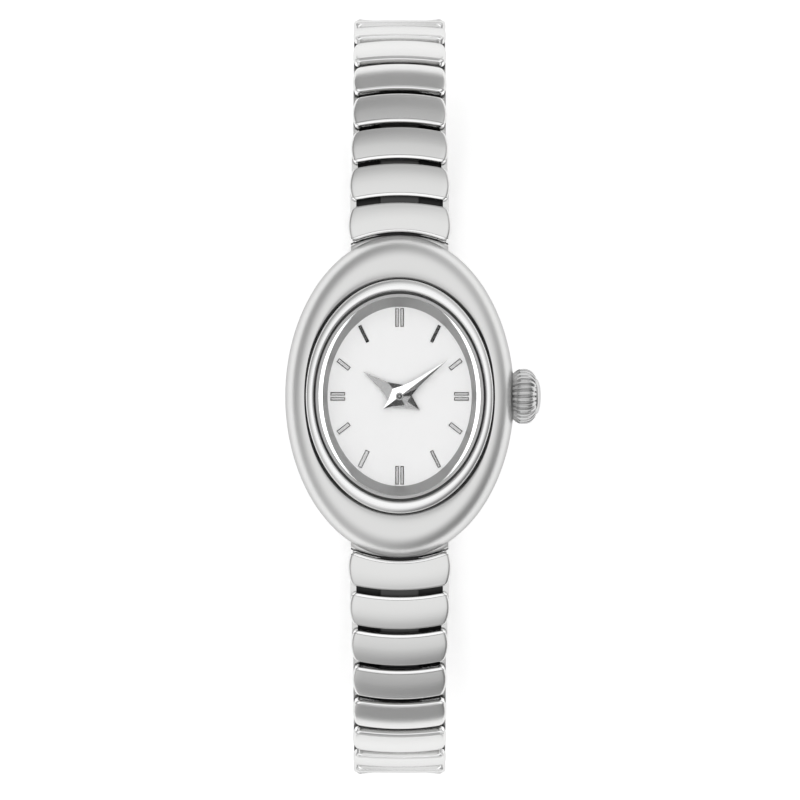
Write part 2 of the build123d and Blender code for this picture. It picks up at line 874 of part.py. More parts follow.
def screw(place, seat):
    """A slotted screw whose head bears on a seat and points to the case back."""
    body = disc(place, screw_head_radius, seat - screw_head_height, seat)
    body += disc(place, screw_radius, seat, seat + screw_pilot_depth)
    half = screw_slot / 2
    slot_low = seat - screw_head_height
    cutter = block((place[0] - screw_head_radius - half, place[1] - half, slot_low),
                   (place[0] + screw_head_radius + half, place[1] + half, slot_low + screw_head_height / 2))
    return body - cutter


def movement_screws():
    screws = [screw(place, bridge_low) for place in pillar_spots]
    screws += [screw(place, battery_low - clamp_thickness) for place in clamp_screw_places()]
    return screws


def battery():
    """A button cell: a can with a smaller cap toward the case back."""
    top = battery_low + battery_height
    can = disc((0, battery_y), battery_radius, battery_low + battery_step, top)
    cap = disc((0, battery_y), battery_radius - battery_rim, battery_low, battery_low + battery_step)
    return can + cap


def battery_clamp():
    """A spring strap across the battery, screwed down at both ends."""
    y = battery_y + clamp_offset()
    strap = block((-clamp_reach, y - clamp_half_width, battery_low - clamp_thickness),
                  (clamp_reach, y + clamp_half_width, battery_low))
    for place in clamp_screw_places():
        strap -= disc(place, screw_radius + slide_clearance, 0, battery_low)
    return strap


def circuit_board():
    """Board with its quartz can and chip, on the side away from the dial."""
    high = plate_low
    low = high - board_thickness
    board = block((board_x - board_half_width, board_y - board_half_length, low),
                  (board_x + board_half_width, board_y + board_half_length, high))
    board &= oval(plate_half_width, plate_half_length, low, high)
    can = Pos(board_x + board_half_width / 2, board_y + quartz_length / 2, low - quartz_radius)
    can = can * extrude(Plane.XZ * Circle(quartz_radius), quartz_length)
    chip_x = board_x - board_half_width / 4
    chip = block((chip_x - chip_side / 2, board_y - chip_side / 2, low - chip_height),
                 (chip_x, board_y + chip_side / 2, low))
    return [board, can, chip]


def motor_coil():
    """Winding on its core, with an end flange at each side."""
    axis_z = rotor_low + stator_thickness / 2
    full = coil_half_length + coil_flange_thickness
    place = Pos(coil_x, coil_y + full, axis_z)
    core = place * extrude(Plane.XZ * Circle(coil_core_radius), 2 * full)
    ends = []
    for side in (-1, 1):
        start = coil_y + side * (coil_half_length + coil_flange_thickness / 2) + coil_flange_thickness / 2
        end = Pos(coil_x, start, axis_z) * extrude(Plane.XZ * Circle(coil_flange_radius),
                                                   coil_flange_thickness)
        ends.append(end)
    middle = Pos(coil_x, coil_y + coil_half_length, axis_z)
    winding = middle * extrude(Plane.XZ * Circle(coil_radius), 2 * coil_half_length)
    return core + ends[0] + ends[1] + winding


def stator():
    """Soft iron plate around the rotor that runs to the coil's end."""
    x, y = rotor_place()
    end_y = coil_y + coil_half_length + coil_flange_thickness
    high = rotor_low + stator_thickness
    plate = block((x - stator_half_width, y - stator_half_width, rotor_low),
                  (coil_x + coil_core_radius, y + stator_half_width, high))
    arm = block((coil_x - coil_core_radius, end_y, rotor_low),
                (coil_x + coil_core_radius, y + stator_half_width, high))
    plate = plate + arm
    plate &= oval(plate_half_width, plate_half_length, rotor_low, high)
    plate -= disc((x, y), rotor_magnet_radius + air_gap, 0, plate_low)
    for place in pillar_spots:
        plate -= disc(place, pillar_radius + seat_clearance, 0, plate_low)
    return plate


# Bracelet

def lower_turn(exponent, travel):
    """Tilt of the hidden lower part: it flattens out as the loop nears its closing point."""
    start = (single_links - 1) * link_pitch
    end = (links_per_side - 0.5) * link_pitch
    left = 180.0 - upper_tilt(start)
    return 180.0 - left * ((end - travel) / (end - start)) ** exponent


def upper_tilt(travel):
    """Tilt of the part that the photograph shows: it curves faster and faster."""
    return first_link_tilt + upper_turn * travel + upper_turn_gain * travel ** 2


def tilts(exponent):
    values = []
    for number in range(links_per_side):
        travel = number * link_pitch
        values.append(upper_tilt(travel) if number < single_links else lower_turn(exponent, travel))
    return values


def chord_tilts(values):
    """Tilt of the line from each link to the one before it. The first one points to the lug."""
    chords = [values[0]]
    for before, after in zip(values, values[1:]):
        chords.append((before + after) / 2)
    return chords


def closing_error(exponent):
    """How far the last link ends from half a pitch off the middle."""
    y = first_link_y
    for chord in chord_tilts(tilts(exponent))[1:]:
        y += link_pitch * math.cos(math.radians(chord))
    return y - link_pitch / 2


def solve_exponent():
    low, high = flattest_exponent, sharpest_exponent
    for attempt in range(exponent_halvings):
        middle = (low + high) / 2
        if closing_error(middle) > 0:
            low = middle
        else:
            high = middle
    return (low + high) / 2


def link_centres(values):
    y, z = first_link_y, first_link_z
    centres = [(y, z)]
    for chord in chord_tilts(values)[1:]:
        y += link_pitch * math.cos(math.radians(chord))
        z -= link_pitch * math.sin(math.radians(chord))
        centres.append((y, z))
    return centres


def tilted_plane(centre, tilt):
    """A plane whose X is across the bracelet, Y along it and Z outward."""
    turn = math.radians(tilt)
    return Plane(origin=(0, centre[0], centre[1]), x_dir=(1, 0, 0), z_dir=(0, math.sin(turn), math.cos(turn)))


def widening(number):
    if number < len(link_widening_shares):
        return link_widening_shares[number]
    return 1.0


def bowed_edge(half, end_y, bow):
    """Ends and crown of one bowed edge of a cover."""
    return (-half, end_y - bow), (0, end_y), (half, end_y - bow)


def cover_outline(half_width, length, near_bow):
    """Crescent plan of a link cover: both long edges bow away from the case, the ends bulge."""
    half = half_width - cover_end_bulge
    near = bowed_edge(half, -length / 2, near_bow)
    far = bowed_edge(half, length / 2, cover_bow)
    middle = (near[0][1] + far[0][1]) / 2
    return make_face(Wire([
        ThreePointArc(*near),
        ThreePointArc(near[2], (half_width, middle), far[2]),
        ThreePointArc(far[2], far[1], far[0]),
        ThreePointArc(far[0], (-half_width, middle), near[0])]))


def cover_dome(half_width, length):
    """Domed bar that follows the crescent, to cut the cover's top."""
    half = half_width - cover_end_bulge
    bow_radius = (half ** 2 + cover_bow ** 2) / (2 * cover_bow)
    near, far = -length / 2 - cover_bow, length / 2 + cover_bow
    crest_y = -length / 2 + length * cover_crest_share
    near_fall = (cover_crest - cover_edge_near) / (cover_crest_share * length) ** 2
    far_fall = (cover_crest - cover_edge_far) / ((1 - cover_crest_share) * length) ** 2
    near_z = cover_crest - near_fall * (crest_y - near) ** 2
    far_z = cover_crest - far_fall * (far - crest_y) ** 2
    bottom = cover_low - cover_edge_near
    near_mid = (near + crest_y) / 2
    far_mid = (far + crest_y) / 2
    near_arc = (0, near_mid, cover_crest - near_fall * (crest_y - near_mid) ** 2)
    far_arc = (0, far_mid, cover_crest - far_fall * (far_mid - crest_y) ** 2)
    profile = make_face(Wire([
        Line((0, near, bottom), (0, near, near_z)),
        ThreePointArc((0, near, near_z), near_arc, (0, crest_y, cover_crest)),
        ThreePointArc((0, crest_y, cover_crest), far_arc, (0, far, far_z)),
        Line((0, far, far_z), (0, far, bottom)),
        Line((0, far, bottom), (0, near, bottom))]))
    spread = math.degrees(math.asin((half_width + cover_bow) / bow_radius))
    centre_y = -bow_radius
    start = Pos(0, centre_y, 0) * (Rot(0, 0, -spread) * (Pos(0, -centre_y, 0) * profile))
    return revolve(start, Axis((0, centre_y, 0), (0, 0, 1)), 2 * spread)


def cover(half_width, length, near_bow):
    """A domed cover: rounded edges, hollow underneath."""
    outline = cover_outline(half_width, length, near_bow)
    outline = fillet(outline.vertices(), cover_corner_radius)
    shape = Pos(0, 0, cover_low) * extrude(outline, cover_crest + cover_edge_near - cover_low)
    shape &= cover_dome(half_width, length)
    upper = shape.edges().filter_by(lambda edge: edge.center().Z > cover_low + cover_edge_radius
                                    and not is_upright(edge))
    shape = fillet(upper, cover_edge_radius)
    inside = half_width - cover_pocket_wall
    shape -= block((-inside, -cover_pocket_length / 2, cover_low - cut_overrun),
                   (inside, cover_pocket_length / 2, cover_low + cover_pocket_height))
    return shape


def is_upright(edge):
    start, end = edge.position_at(0), edge.position_at(1)
    return math.hypot(start.X - end.X, start.Y - end.Y) < abs(start.Z - end.Z) * upright_share


def tray(half_width, start, end):
    """Plate on the wrist side that closes a gap from below."""
    half = half_width - tray_inset
    plate = block((-half, start, -tray_depth), (half, end, tray_thickness - tray_depth))
    return fillet(plate.edges().group_by(Axis.Z)[0], tray_edge_radius)


def posts(rim_y, cover_place, tray_place):
    """Two posts that hang a tray from the rim of a cover: flush under the cover and on the tray."""
    inner = strap_half_width + post_width
    below = block((-link_half_width, -link_pitch, -link_pitch),
                  (link_half_width, 2 * link_pitch, tray_thickness - tray_depth))
    shapes = []
    for side in (1, -1):
        xs = sorted((side * inner, side * (inner + post_width)))
        post = block((xs[0], rim_y - post_thickness / 2, -2 * tray_depth),
                     (xs[1], rim_y + post_thickness / 2, cover_low))
        shapes.append(cover_place.location * post - tray_place.location * below)
    return shapes


def leaf_spring():
    """Bowed leaf in the cover's hollow that pulls the neighbours together."""
    low = cover_low + leaf_thickness / 2
    ends = ((-leaf_half_length, low), (0, low + leaf_bow), (leaf_half_length, low))
    upper = [(x, z + leaf_thickness) for x, z in ends]
    profile = make_face(Wire([
        ThreePointArc(*ends),
        Line(ends[2], upper[2]),
        ThreePointArc(upper[2], upper[1], upper[0]),
        Line(upper[0], ends[0])]))
    return Pos(0, leaf_width / 2, 0) * extrude(Plane.XZ * profile, leaf_width)


def strap_and_clips(half_width, start, end):
    """Middle strap and two edge clips that cross a gap, along the line between two links."""
    low = -strap_offset - strap_thickness / 2
    high = -strap_offset + strap_thickness / 2
    pieces = [block((-strap_half_width, start, low), (strap_half_width, end, high))]
    outer = half_width - clip_inset
    for side in (1, -1):
        xs = sorted((side * outer, side * (outer - clip_width)))
        pieces.append(block((xs[0], start, low), (xs[1], end, high)))
    return pieces


def place_on(plane, shapes):
    return [plane.location * shape for shape in shapes]


def link_pieces(number, values, centres):
    """All solids of one link of the twelve o'clock side."""
    half_width = link_half_width * widening(number)
    length = first_cover_length if number == 0 else cover_length
    near_bow = lug_bow if number == 0 else cover_bow
    own_place = tilted_plane(centres[number], values[number])
    pieces = place_on(own_place, [cover(half_width, length, near_bow), leaf_spring()])
    if number == 0:
        rim_y = -length / 2 + cover_rim / 2
        pieces += place_on(own_place, [tray(half_width, -length / 2 + tray_inset, first_tray_end)])
        return pieces + posts(rim_y, own_place, own_place)
    rim_y = -length / 2 + cover_rim / 2
    gap_place = tilted_plane(centres[number - 1], chord_tilts(values)[number])
    width = min(half_width, link_half_width * widening(number - 1))
    bridge = strap_and_clips(width, strap_entry, link_pitch - strap_root)
    bridge.append(tray(width, tray_entry, link_pitch - tray_root))
    return pieces + place_on(gap_place, bridge) + posts(rim_y, own_place, gap_place)


def closing_bridge(values, centres):
    """Strap, clips and tray that join the last links of both sides under the wrist."""
    place = tilted_plane(centres[-1], values[-1])
    level = tilted_plane(centres[-1], 180.0)
    bridge = strap_and_clips(link_half_width, -strap_root, link_pitch - strap_entry)
    bridge.append(tray(link_half_width, tray_root, link_pitch - tray_entry))
    return place_on(level, bridge) + posts(cover_length / 2 - cover_rim / 2, place, level)


def end_connector():
    """Knuckle around the spring bar and the strap that enters the first link."""
    knuckle = rod_x(bar_knuckle_radius, -connector_half_width, connector_half_width, bar_y, bar_z)
    reach = first_link_y - strap_root
    low = first_link_z - strap_offset - strap_thickness / 2
    tongue = block((-strap_half_width, bar_y, low), (strap_half_width, reach, low + strap_thickness))
    hole = rod_x(bar_radius + slide_clearance, -connector_half_width - cut_overrun,
                 connector_half_width + cut_overrun, bar_y, bar_z)
    return knuckle + tongue - hole


def spring_bar():
    return rod_x(bar_radius, -bar_half_length, bar_half_length, bar_y, bar_z)


def save_links():
    values = tilts(solve_exponent())
    centres = link_centres(values)
    for number in range(single_links):
        pieces = link_pieces(number, values, centres)
        save(pieces, f"upper_link_{number + 1}")
        save([mirror(piece, Plane.XZ) for piece in pieces], f"lower_link_{number + 1}")
    for pair in range((links_per_side - single_links) // paired_links):
        first = single_links + paired_links * pair
        pieces = link_pieces(first, values, centres) + link_pieces(first + 1, values, centres)
        closes = first + paired_links == links_per_side
        extra = closing_bridge(values, centres) if closes else []
        save(pieces + extra, f"upper_link_pair_{pair + 1}")
        save([mirror(piece, Plane.XZ) for piece in pieces], f"lower_link_pair_{pair + 1}")


os.makedirs("parts", exist_ok=True)
save(case_body(), "case_body")
save(case_back(), "case_back")
save(back_gasket(), "back_gasket")
save(bezel(), "bezel")
save(crystal(), "crystal")
save(inner_flange(), "inner_flange")
save(dial(), "dial")
save(hour_markers(), "hour_markers")
save(hour_hand(), "hour_hand")
save(minute_hand(), "minute_hand")
save(crown(), "crown")
save(crown_tube(), "crown_tube")
save(crown_gasket(), "crown_gasket")
save(stem(), "stem")
save(movement_ring(), "movement_ring")
save(main_plate(), "main_plate")
save(train_bridge(), "train_bridge")
save(movement_screws(), "movement_screws")
save(battery(), "battery")
save(battery_clamp(), "battery_clamp")
save(circuit_board(), "circuit_board")
save(motor_coil(), "motor_coil")
save(stator(), "stator")
save(rotor(), "rotor")
save(step_wheel(), "step_wheel")
save(third_wheel(), "third_wheel")
save(centre_wheel(), "centre_wheel")
save(minute_wheel(), "minute_wheel")
save(hour_wheel(), "hour_wheel")
save(setting_wheel(), "setting_wheel")
save(both_ends(spring_bar()), "spring_bars")
save(both_ends(end_connector()), "end_connectors")
save_links()
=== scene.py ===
import json
import math

import bpy
from bpy.props import FloatProperty, FloatVectorProperty, IntProperty, PointerProperty
from bpy.types import Operator, Panel, PropertyGroup
from mathutils import Matrix, Vector


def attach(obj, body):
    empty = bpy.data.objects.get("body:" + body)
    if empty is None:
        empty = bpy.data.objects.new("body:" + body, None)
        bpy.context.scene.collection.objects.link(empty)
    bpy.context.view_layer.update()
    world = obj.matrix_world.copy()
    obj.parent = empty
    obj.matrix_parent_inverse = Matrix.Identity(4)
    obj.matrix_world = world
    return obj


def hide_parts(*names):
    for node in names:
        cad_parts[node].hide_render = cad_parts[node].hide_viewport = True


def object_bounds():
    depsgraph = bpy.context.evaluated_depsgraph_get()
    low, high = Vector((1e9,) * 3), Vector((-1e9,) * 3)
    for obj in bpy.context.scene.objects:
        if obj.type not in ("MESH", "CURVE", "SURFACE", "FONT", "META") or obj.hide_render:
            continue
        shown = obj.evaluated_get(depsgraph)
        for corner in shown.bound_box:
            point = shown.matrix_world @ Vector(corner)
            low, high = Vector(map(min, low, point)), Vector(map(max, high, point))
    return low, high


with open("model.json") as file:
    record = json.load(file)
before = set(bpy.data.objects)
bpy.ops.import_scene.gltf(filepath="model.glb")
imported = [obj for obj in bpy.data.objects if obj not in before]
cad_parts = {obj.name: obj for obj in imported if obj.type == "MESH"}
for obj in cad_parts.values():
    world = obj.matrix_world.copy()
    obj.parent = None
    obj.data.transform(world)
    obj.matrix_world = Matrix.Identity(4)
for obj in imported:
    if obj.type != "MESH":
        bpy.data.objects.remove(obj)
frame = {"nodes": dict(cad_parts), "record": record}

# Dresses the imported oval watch: smooth case, bezel, crown and bracelet links, and every finish.
# Lengths are metres in the watch's own frame: +Z is the way the dial faces, +Y twelve o'clock.

bl_info = {
    "name": "Oval bracelet watch",
    "version": (1, 0, 0),
    "blender": (4, 5, 0),
    "location": "View3D > Sidebar > Watch",
    "description": "Builds the visible pieces of an oval watch on a stretch bracelet",
    "category": "Object",
}

MM = 0.001
CAD_BOX = [list(corner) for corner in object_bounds()]
FLOOR_Z = CAD_BOX[0][2]
TURN = 2 * math.pi
SIDES = ((1, "upper"), (-1, "lower"))


def length(name, description, millimetres):
    """A size that a user may change, shown in the scene's length unit."""
    return FloatProperty(name=name, description=description, default=millimetres * MM,
                         unit="LENGTH", precision=5)


def oval(name, description, across, along):
    """Two sizes that a user may change: across the watch and along it."""
    return FloatVectorProperty(name=name, description=description, default=(across * MM, along * MM),
                               size=2, unit="LENGTH", precision=5)


def tint(name, description, shade):
    """A colour that a user may change."""
    return FloatVectorProperty(name=name, description=description, default=shade, subtype="COLOR",
                               size=3, min=0.0, max=1.0)


def share(name, description, value):
    """A part of a whole, from 0 to 1."""
    return FloatProperty(name=name, description=description, default=value, subtype="FACTOR",
                         min=0.0, max=1.0)


def degrees(name, description, value):
    """An angle that a user may change."""
    return FloatProperty(name=name, description=description, default=value)


class WatchCaseSizes(PropertyGroup):
    outline: oval("Outline", "Half the width and half the length of the case", 10.55, 14.84)
    mid_height: length("Middle height", "Height of the widest line", 3.0)
    crest_height: length("Crest height", "Height of the rounded crest", 6.3)
    crest_inset: oval("Crest inset", "From the outline in to the crest", 1.82, 2.25)
    inner_fall: length("Inner fall", "Drop from the crest to the bezel seam", 0.32)
    wall_lean: length("Wall lean", "How far the side wall leans in", 0.12)
    wall_height: length("Wall height", "Side wall above the widest line", 1.1)
    back: oval("Back", "Half the width and half the length of the case back", 8.9, 12.2)
    back_thickness: length("Back thickness", "Plate of the case back", 0.45)
    bore: oval("Bore", "Half the width and half the length of the movement's hollow", 7.9, 10.0)
    lug_half_width: length("Lug half width", "Block that carries the bracelet", 4.5)
    lug_reach: length("Lug reach", "From the case's middle to the block's end", 14.86)
    lug_bow: length("Lug bow", "How much the block's end bows", 0.9)
    lug_low: length("Lug low", "Underside of the block", 1.3)
    lug_top: length("Lug top", "Top of the block", 3.3)


class WatchBezelSizes(PropertyGroup):
    outline: oval("Outline", "Half the width and half the length at the seam", 8.62, 10.71)
    inner: oval("Inner", "Half the width and half the length of the bore", 7.70, 9.38)
    seat_height: length("Seat height", "Underside of the bezel's rim", 5.45)
    crest_height: length("Crest height", "Top of the bezel", 6.72)
    neck_wall: length("Neck wall", "Ring that presses into the case", 0.5)
    neck_height: length("Neck height", "Depth of the pressed ring", 0.75)
    glass_gap: length("Glass gap", "Cement round the crystal", 0.3)
    glass_low: length("Glass low", "Underside of the crystal", 5.4)
    glass_top: length("Glass top", "Top of the crystal", 6.5)
    flange: oval("Flange", "Half the width and half the length of its inner edge", 6.62, 8.23)
    flange_low: length("Flange low", "Foot of the flange on the dial", 4.2)
    flange_rim: oval("Flange rim", "Polished rim under the crystal's edge", 0.62, 0.2)


class WatchMarkerSizes(PropertyGroup):
    height: length("Height", "Baton above the dial", 0.18)
    width: length("Width", "Batons at the quarters", 0.3)
    corner_width: length("Corner width", "Batons between the quarters", 0.4)
    bevel: length("Bevel", "Bevelled edges", 0.07)
    long_length: length("Long length", "Batons near twelve and six", 1.70)
    short_length: length("Short length", "Batons near three and nine", 1.34)
    double_gap: length("Double gap", "Between the two batons of a quarter", 0.16)
    twelve_y: length("Twelve", "Distance of the batons at twelve", 7.25)
    three_x: length("Three", "Distance of the batons at three", 5.68)
    one: oval("One", "Distance of the baton at one", 3.30, 5.75)
    two: oval("Two", "Distance of the baton at two", 5.14, 2.93)


class WatchHandSizes(PropertyGroup):
    base: length("Base", "Thickness at the edges", 0.07)
    ridge: length("Ridge", "Rise of the facets at the arbor", 0.2)
    minute_low: length("Minute hand", "Underside of the minute hand", 4.84)
    hour_low: length("Hour hand", "Underside of the hour hand", 4.5)
    cap_radius: length("Cap radius", "Cap of the arbor", 0.36)
    cap_height: length("Cap height", "Cap above the minute hand's underside", 0.32)
    minute_angle: degrees("Minute angle", "Degrees clockwise from twelve", 52.8)
    hour_angle: degrees("Hour angle", "Degrees clockwise from twelve", 304.2)


class WatchCrownSizes(PropertyGroup):
    radius: length("Radius", "Widest radius over the ribs", 2.52)
    end_radius: length("End radius", "Radius at the barrel's inner end", 2.0)
    crest_share: share("Crest share", "Where the barrel is widest along its length", 0.43)
    start: length("Start", "Inner face of the crown", 10.35)
    barrel: length("Barrel", "Length of the ribbed barrel", 2.2)
    cap_radius: length("Cap radius", "Smooth end cap", 1.78)
    cap_height: length("Cap height", "Height of the domed cap", 0.48)
    bore_radius: length("Bore radius", "Bore that covers the tube", 1.2)
    bore_depth: length("Bore depth", "Depth of that bore", 1.6)
    ribs: IntProperty(name="Ribs", description="Ribs round the barrel", default=26, min=8)
    rib_depth: length("Rib depth", "Groove between two ribs", 0.3)


class WatchLinkSizes(PropertyGroup):
    pitch: length("Pitch", "From one link to the next", 3.46)
    half_width: length("Half width", "Half the width of a plain link", 4.35)
    cover_length: length("Cover length", "Cover along the bracelet", 3.04)
    first_length: length("First cover length", "Cover of the link beside the case", 2.76)
    bow: length("Bow", "Bow of the cover's long edges", 0.48)
    bulge: length("End bulge", "Bulge of the cover's ends", 0.34)
    corner: length("Corner radius", "Corners of the cover in plan", 0.3)
    crest: length("Crest", "Height of the dome", 0.83)
    edge_near: length("Near edge", "Height of the edge that faces the case", 0.78)
    edge_far: length("Far edge", "Height of the edge away from the case", 0.56)
    crest_share: share("Crest share", "Where the crest lies along the cover", 0.42)
    edge_radius: length("Edge radius", "Rounded edge away from the case", 0.2)
    lip_width: length("Lip width", "Polished lip that faces the case", 0.24)
    lip_drop: length("Lip drop", "How much lower the lip lies", 0.1)
    end_radius: length("End radius", "Rounded ends", 0.32)


class WatchFinish(PropertyGroup):
    satin: tint("Satin steel", "Blasted steel of the case", (0.73, 0.73, 0.725))
    polished: tint("Polished steel", "Bezel, crown and hands", (0.86, 0.86, 0.86))
    links: tint("Link steel", "Covers of the bracelet", (0.72, 0.72, 0.715))
    dial: tint("Dial lacquer", "White lacquer", (0.88, 0.88, 0.88))
    floor: tint("Floor", "Plain pale floor", (0.92, 0.92, 0.92))


# Mesh helpers

CASE_SEGMENTS = 256
# The smallest ring, where a stack of rings closes
POLE = 0.01 * MM


def put_in_scene(name, data):
    """A new object for some data, linked to the scene."""
    thing = bpy.data.objects.new(name, data)
    bpy.context.scene.collection.objects.link(thing)
    return thing


def add_piece(name, shape, body, replaced, finishes, creases=35.0, tones=()):
    """Make a piece from its points and faces, finish it, tie it to its body and hide the node it replaces.
    """
    vertices, faces = shape
    mesh = bpy.data.meshes.new(name)
    mesh.from_pydata(vertices, [], faces)
    mesh.validate()
    piece = put_in_scene(name, mesh)
    for finish_name in finishes:
        mesh.materials.append(finish(finish_name))
    mesh.shade_smooth()
    mesh.set_sharp_from_angle(angle=math.radians(creases))
    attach(piece, body)
    if replaced:
        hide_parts(replaced)
    if tones:
        paint_faces(piece, tones)
    return piece


def paint_faces(piece, tones):
    """Give each face its finish by number."""
    polygons = piece.data.polygons
    if len(polygons) != len(tones):
        raise RuntimeError(f"{piece.name} has {len(polygons)} faces for {len(tones)} finishes")
    for polygon, tone in zip(polygons, tones):
        polygon.material_index = tone


def banded(count, segments, chosen):
    """Finish numbers for a stack of rings: the second finish on the chosen rings, else the first."""
    return [1 if ring in chosen else 0 for ring in range(count) for step in range(segments)]


def grown(ring, extra, z):
    """A ring that stands outside another by a length, at a height."""
    return (ring[0] + extra, ring[1] + extra, z)


def between(first, last, part, z):
    """A ring at a share of the way from one ring to another, at a height."""
    return (first[0] + (last[0] - first[0]) * part, first[1] + (last[1] - first[1]) * part, z)


def bridge_rings(count, segments, closed, wrapped=True):
    """Faces between rings of equal size. A closed profile joins the last ring to the first."""
    faces = []
    for ring in range(count if closed else count - 1):
        after = (ring + 1) % count
        for step in range(segments if wrapped else segments - 1):
            following = (step + 1) % segments
            faces.append((ring * segments + step, ring * segments + following,
                          after * segments + following, after * segments + step))
    return faces


def end_caps(count, segments):
    """The two faces that close a stack of rings."""
    start = (count - 1) * segments
    return [tuple(reversed(range(segments))), tuple(range(start, start + segments))]


def oval_stack(rings, segments, closed):
    """Points and faces of a stack of ovals. An open stack is capped at both ends."""
    vertices = []
    for half_x, half_y, z in rings:
        for step in range(segments):
            turn = TURN * step / segments
            vertices.append((half_x * math.cos(turn), half_y * math.sin(turn), z))
    faces = bridge_rings(len(rings), segments, closed)
    if not closed:
        faces += end_caps(len(rings), segments)
    return vertices, faces


def add_oval(name, rings, closed, replaced, finishes, creases=35.0, second=()):
    """Make a piece of the case from a stack of ovals, with its second finish on some rings."""
    tones = banded(len(rings), CASE_SEGMENTS, second) if second else ()
    return add_piece(name, oval_stack(rings, CASE_SEGMENTS, closed), "case", replaced,
                     finishes, creases, tones)


def box_mesh(low, high):
    """Points and faces of a block between two corners."""
    corners = [(x, y, z) for x in (low[0], high[0]) for y in (low[1], high[1]) for z in (low[2], high[2])]
    faces = [(0, 1, 3, 2), (4, 6, 7, 5), (0, 4, 5, 1), (2, 3, 7, 6), (0, 2, 6, 4), (1, 5, 7, 3)]
    return corners, faces


def quarter(count):
    """Angles that divide a quarter turn, both ends counted."""
    return [math.pi / 2 * step / (count - 1) for step in range(count)]


# Case

UNDERSIDE_STEPS = 12
WALL_STEPS = 6
SHOULDER_STEPS = 26
SHOULDER_START = 2
FALL_STEPS = 10
FALL_POWER = 3.5
RIM_ROUND = 0.07 * MM
SEAM = 0.065 * MM
SEAM_RINGS = 6
BACK_ROUND = 0.15 * MM
ROUND_STEPS = 6


def case_rings(case, bezel):
    """Closed section of the case ring, from the back edge over the crest and down the bores."""
    depth = case.mid_height - case.back_thickness
    rings = [between(case.back, case.outline, math.cos(turn), case.mid_height - depth * math.sin(turn))
             for turn in reversed(quarter(UNDERSIDE_STEPS))]
    for step in range(1, WALL_STEPS + 1):
        rings.append(grown(case.outline, -case.wall_lean * (step / WALL_STEPS) ** 2,
                           case.mid_height + case.wall_height * step / WALL_STEPS))
    wall = rings[-1]
    crest = (case.outline[0] - case.crest_inset[0], case.outline[1] - case.crest_inset[1])
    rise = case.crest_height - wall[2]
    rings += [between(crest, wall, math.cos(turn), wall[2] + rise * math.sin(turn))
              for turn in quarter(SHOULDER_STEPS)[SHOULDER_START:]]
    seam = grown(bezel.outline, SEAM, bezel.seat_height)
    rim = grown(seam, RIM_ROUND / 2, case.crest_height - case.inner_fall)
    for step in range(1, FALL_STEPS + 1):
        part = step / FALL_STEPS
        rings.append(between(crest, rim, part, case.crest_height - case.inner_fall * part ** FALL_POWER))
    neck = bezel.neck_wall + RIM_ROUND
    ledge = bezel.seat_height - bezel.neck_height
    return rings + [grown(seam, RIM_ROUND / 8, rim[2] - RIM_ROUND / 8),
                    grown(seam, 0.0, rim[2] - RIM_ROUND / 2), seam,
                    grown(bezel.inner, neck, bezel.seat_height), grown(bezel.inner, neck, ledge),
                    grown(case.bore, 0.0, ledge), grown(case.bore, 0.0, case.back_thickness)]


def back_rings(case):
    """Section of the back plate with its rounded lower edge."""
    edge = [grown(case.back, -BACK_ROUND * (1 - math.sin(turn)), BACK_ROUND * (1 - math.cos(turn)))
            for turn in quarter(ROUND_STEPS)]
    return [(POLE, POLE, 0.0), *edge, grown(case.back, 0.0, case.back_thickness),
            (POLE, POLE, case.back_thickness)]


LUG_COLUMNS = 40
LUG_ROOT = 11.6 * MM
LUG_ROUND = 0.3 * MM
LUG_DROP = 0.3 * MM
LUG_DROP_POWER = 8
LUG_FOOT = 0.2 * MM
POCKET_HALF_WIDTH = 3.75 * MM
POCKET_LOW = 1.6 * MM
POCKET_TOP = 2.95 * MM
POCKET_START = 13.1 * MM


def lug_mesh(case, side):
    """Lug block whose end bows with the case: its shape, and painted shade for its end face."""
    rounding = [(-LUG_ROUND * (1 - math.cos(turn)), -LUG_ROUND * (1 - math.sin(turn)))
                for turn in reversed(quarter(ROUND_STEPS))]
    vertices = []
    for column in range(LUG_COLUMNS + 1):
        place = -1 + 2 * column / LUG_COLUMNS
        x = case.lug_half_width * place
        far = case.lug_reach - case.lug_bow * place ** 2
        top = case.lug_top - LUG_DROP * place ** LUG_DROP_POWER
        section = [(LUG_ROOT, case.lug_low), (LUG_ROOT, top)]
        section += [(far + back, top + down) for back, down in rounding]
        section.append((far + LUG_FOOT, case.lug_low))
        vertices += [(x, side * y, z) for y, z in section]
    per = len(section)
    faces = bridge_rings(LUG_COLUMNS + 1, per, False) + end_caps(LUG_COLUMNS + 1, per)
    if side < 0:
        faces = [tuple(reversed(face)) for face in faces]
    # The end face takes the near-black steel as painted shade
    tones = [1 if row == per - 2 else 0 for column in range(LUG_COLUMNS) for row in range(per)]
    return (vertices, faces), tones + [0, 0]


def cut_box(piece, low, high, finish_name):
    """Cut a box out of a piece for good; the cut's walls take a finish."""
    centre = (Vector(low) + Vector(high)) / 2
    corners, faces = box_mesh(low, high)
    mesh = bpy.data.meshes.new("cutter")
    mesh.from_pydata([Vector(corner) - centre for corner in corners], [], faces)
    mesh.materials.append(finish(finish_name))
    cutter = put_in_scene("cutter", mesh)
    cutter.location = centre
    modifier = piece.modifiers.new("Pocket", "BOOLEAN")
    modifier.operation = "DIFFERENCE"
    modifier.solver = "EXACT"
    modifier.material_mode = "TRANSFER"
    modifier.object = cutter
    bpy.context.view_layer.update()
    shown = piece.evaluated_get(bpy.context.evaluated_depsgraph_get())
    cut = bpy.data.meshes.new_from_object(shown)
    piece.modifiers.clear()
    piece.data = cut
    bpy.data.objects.remove(cutter)


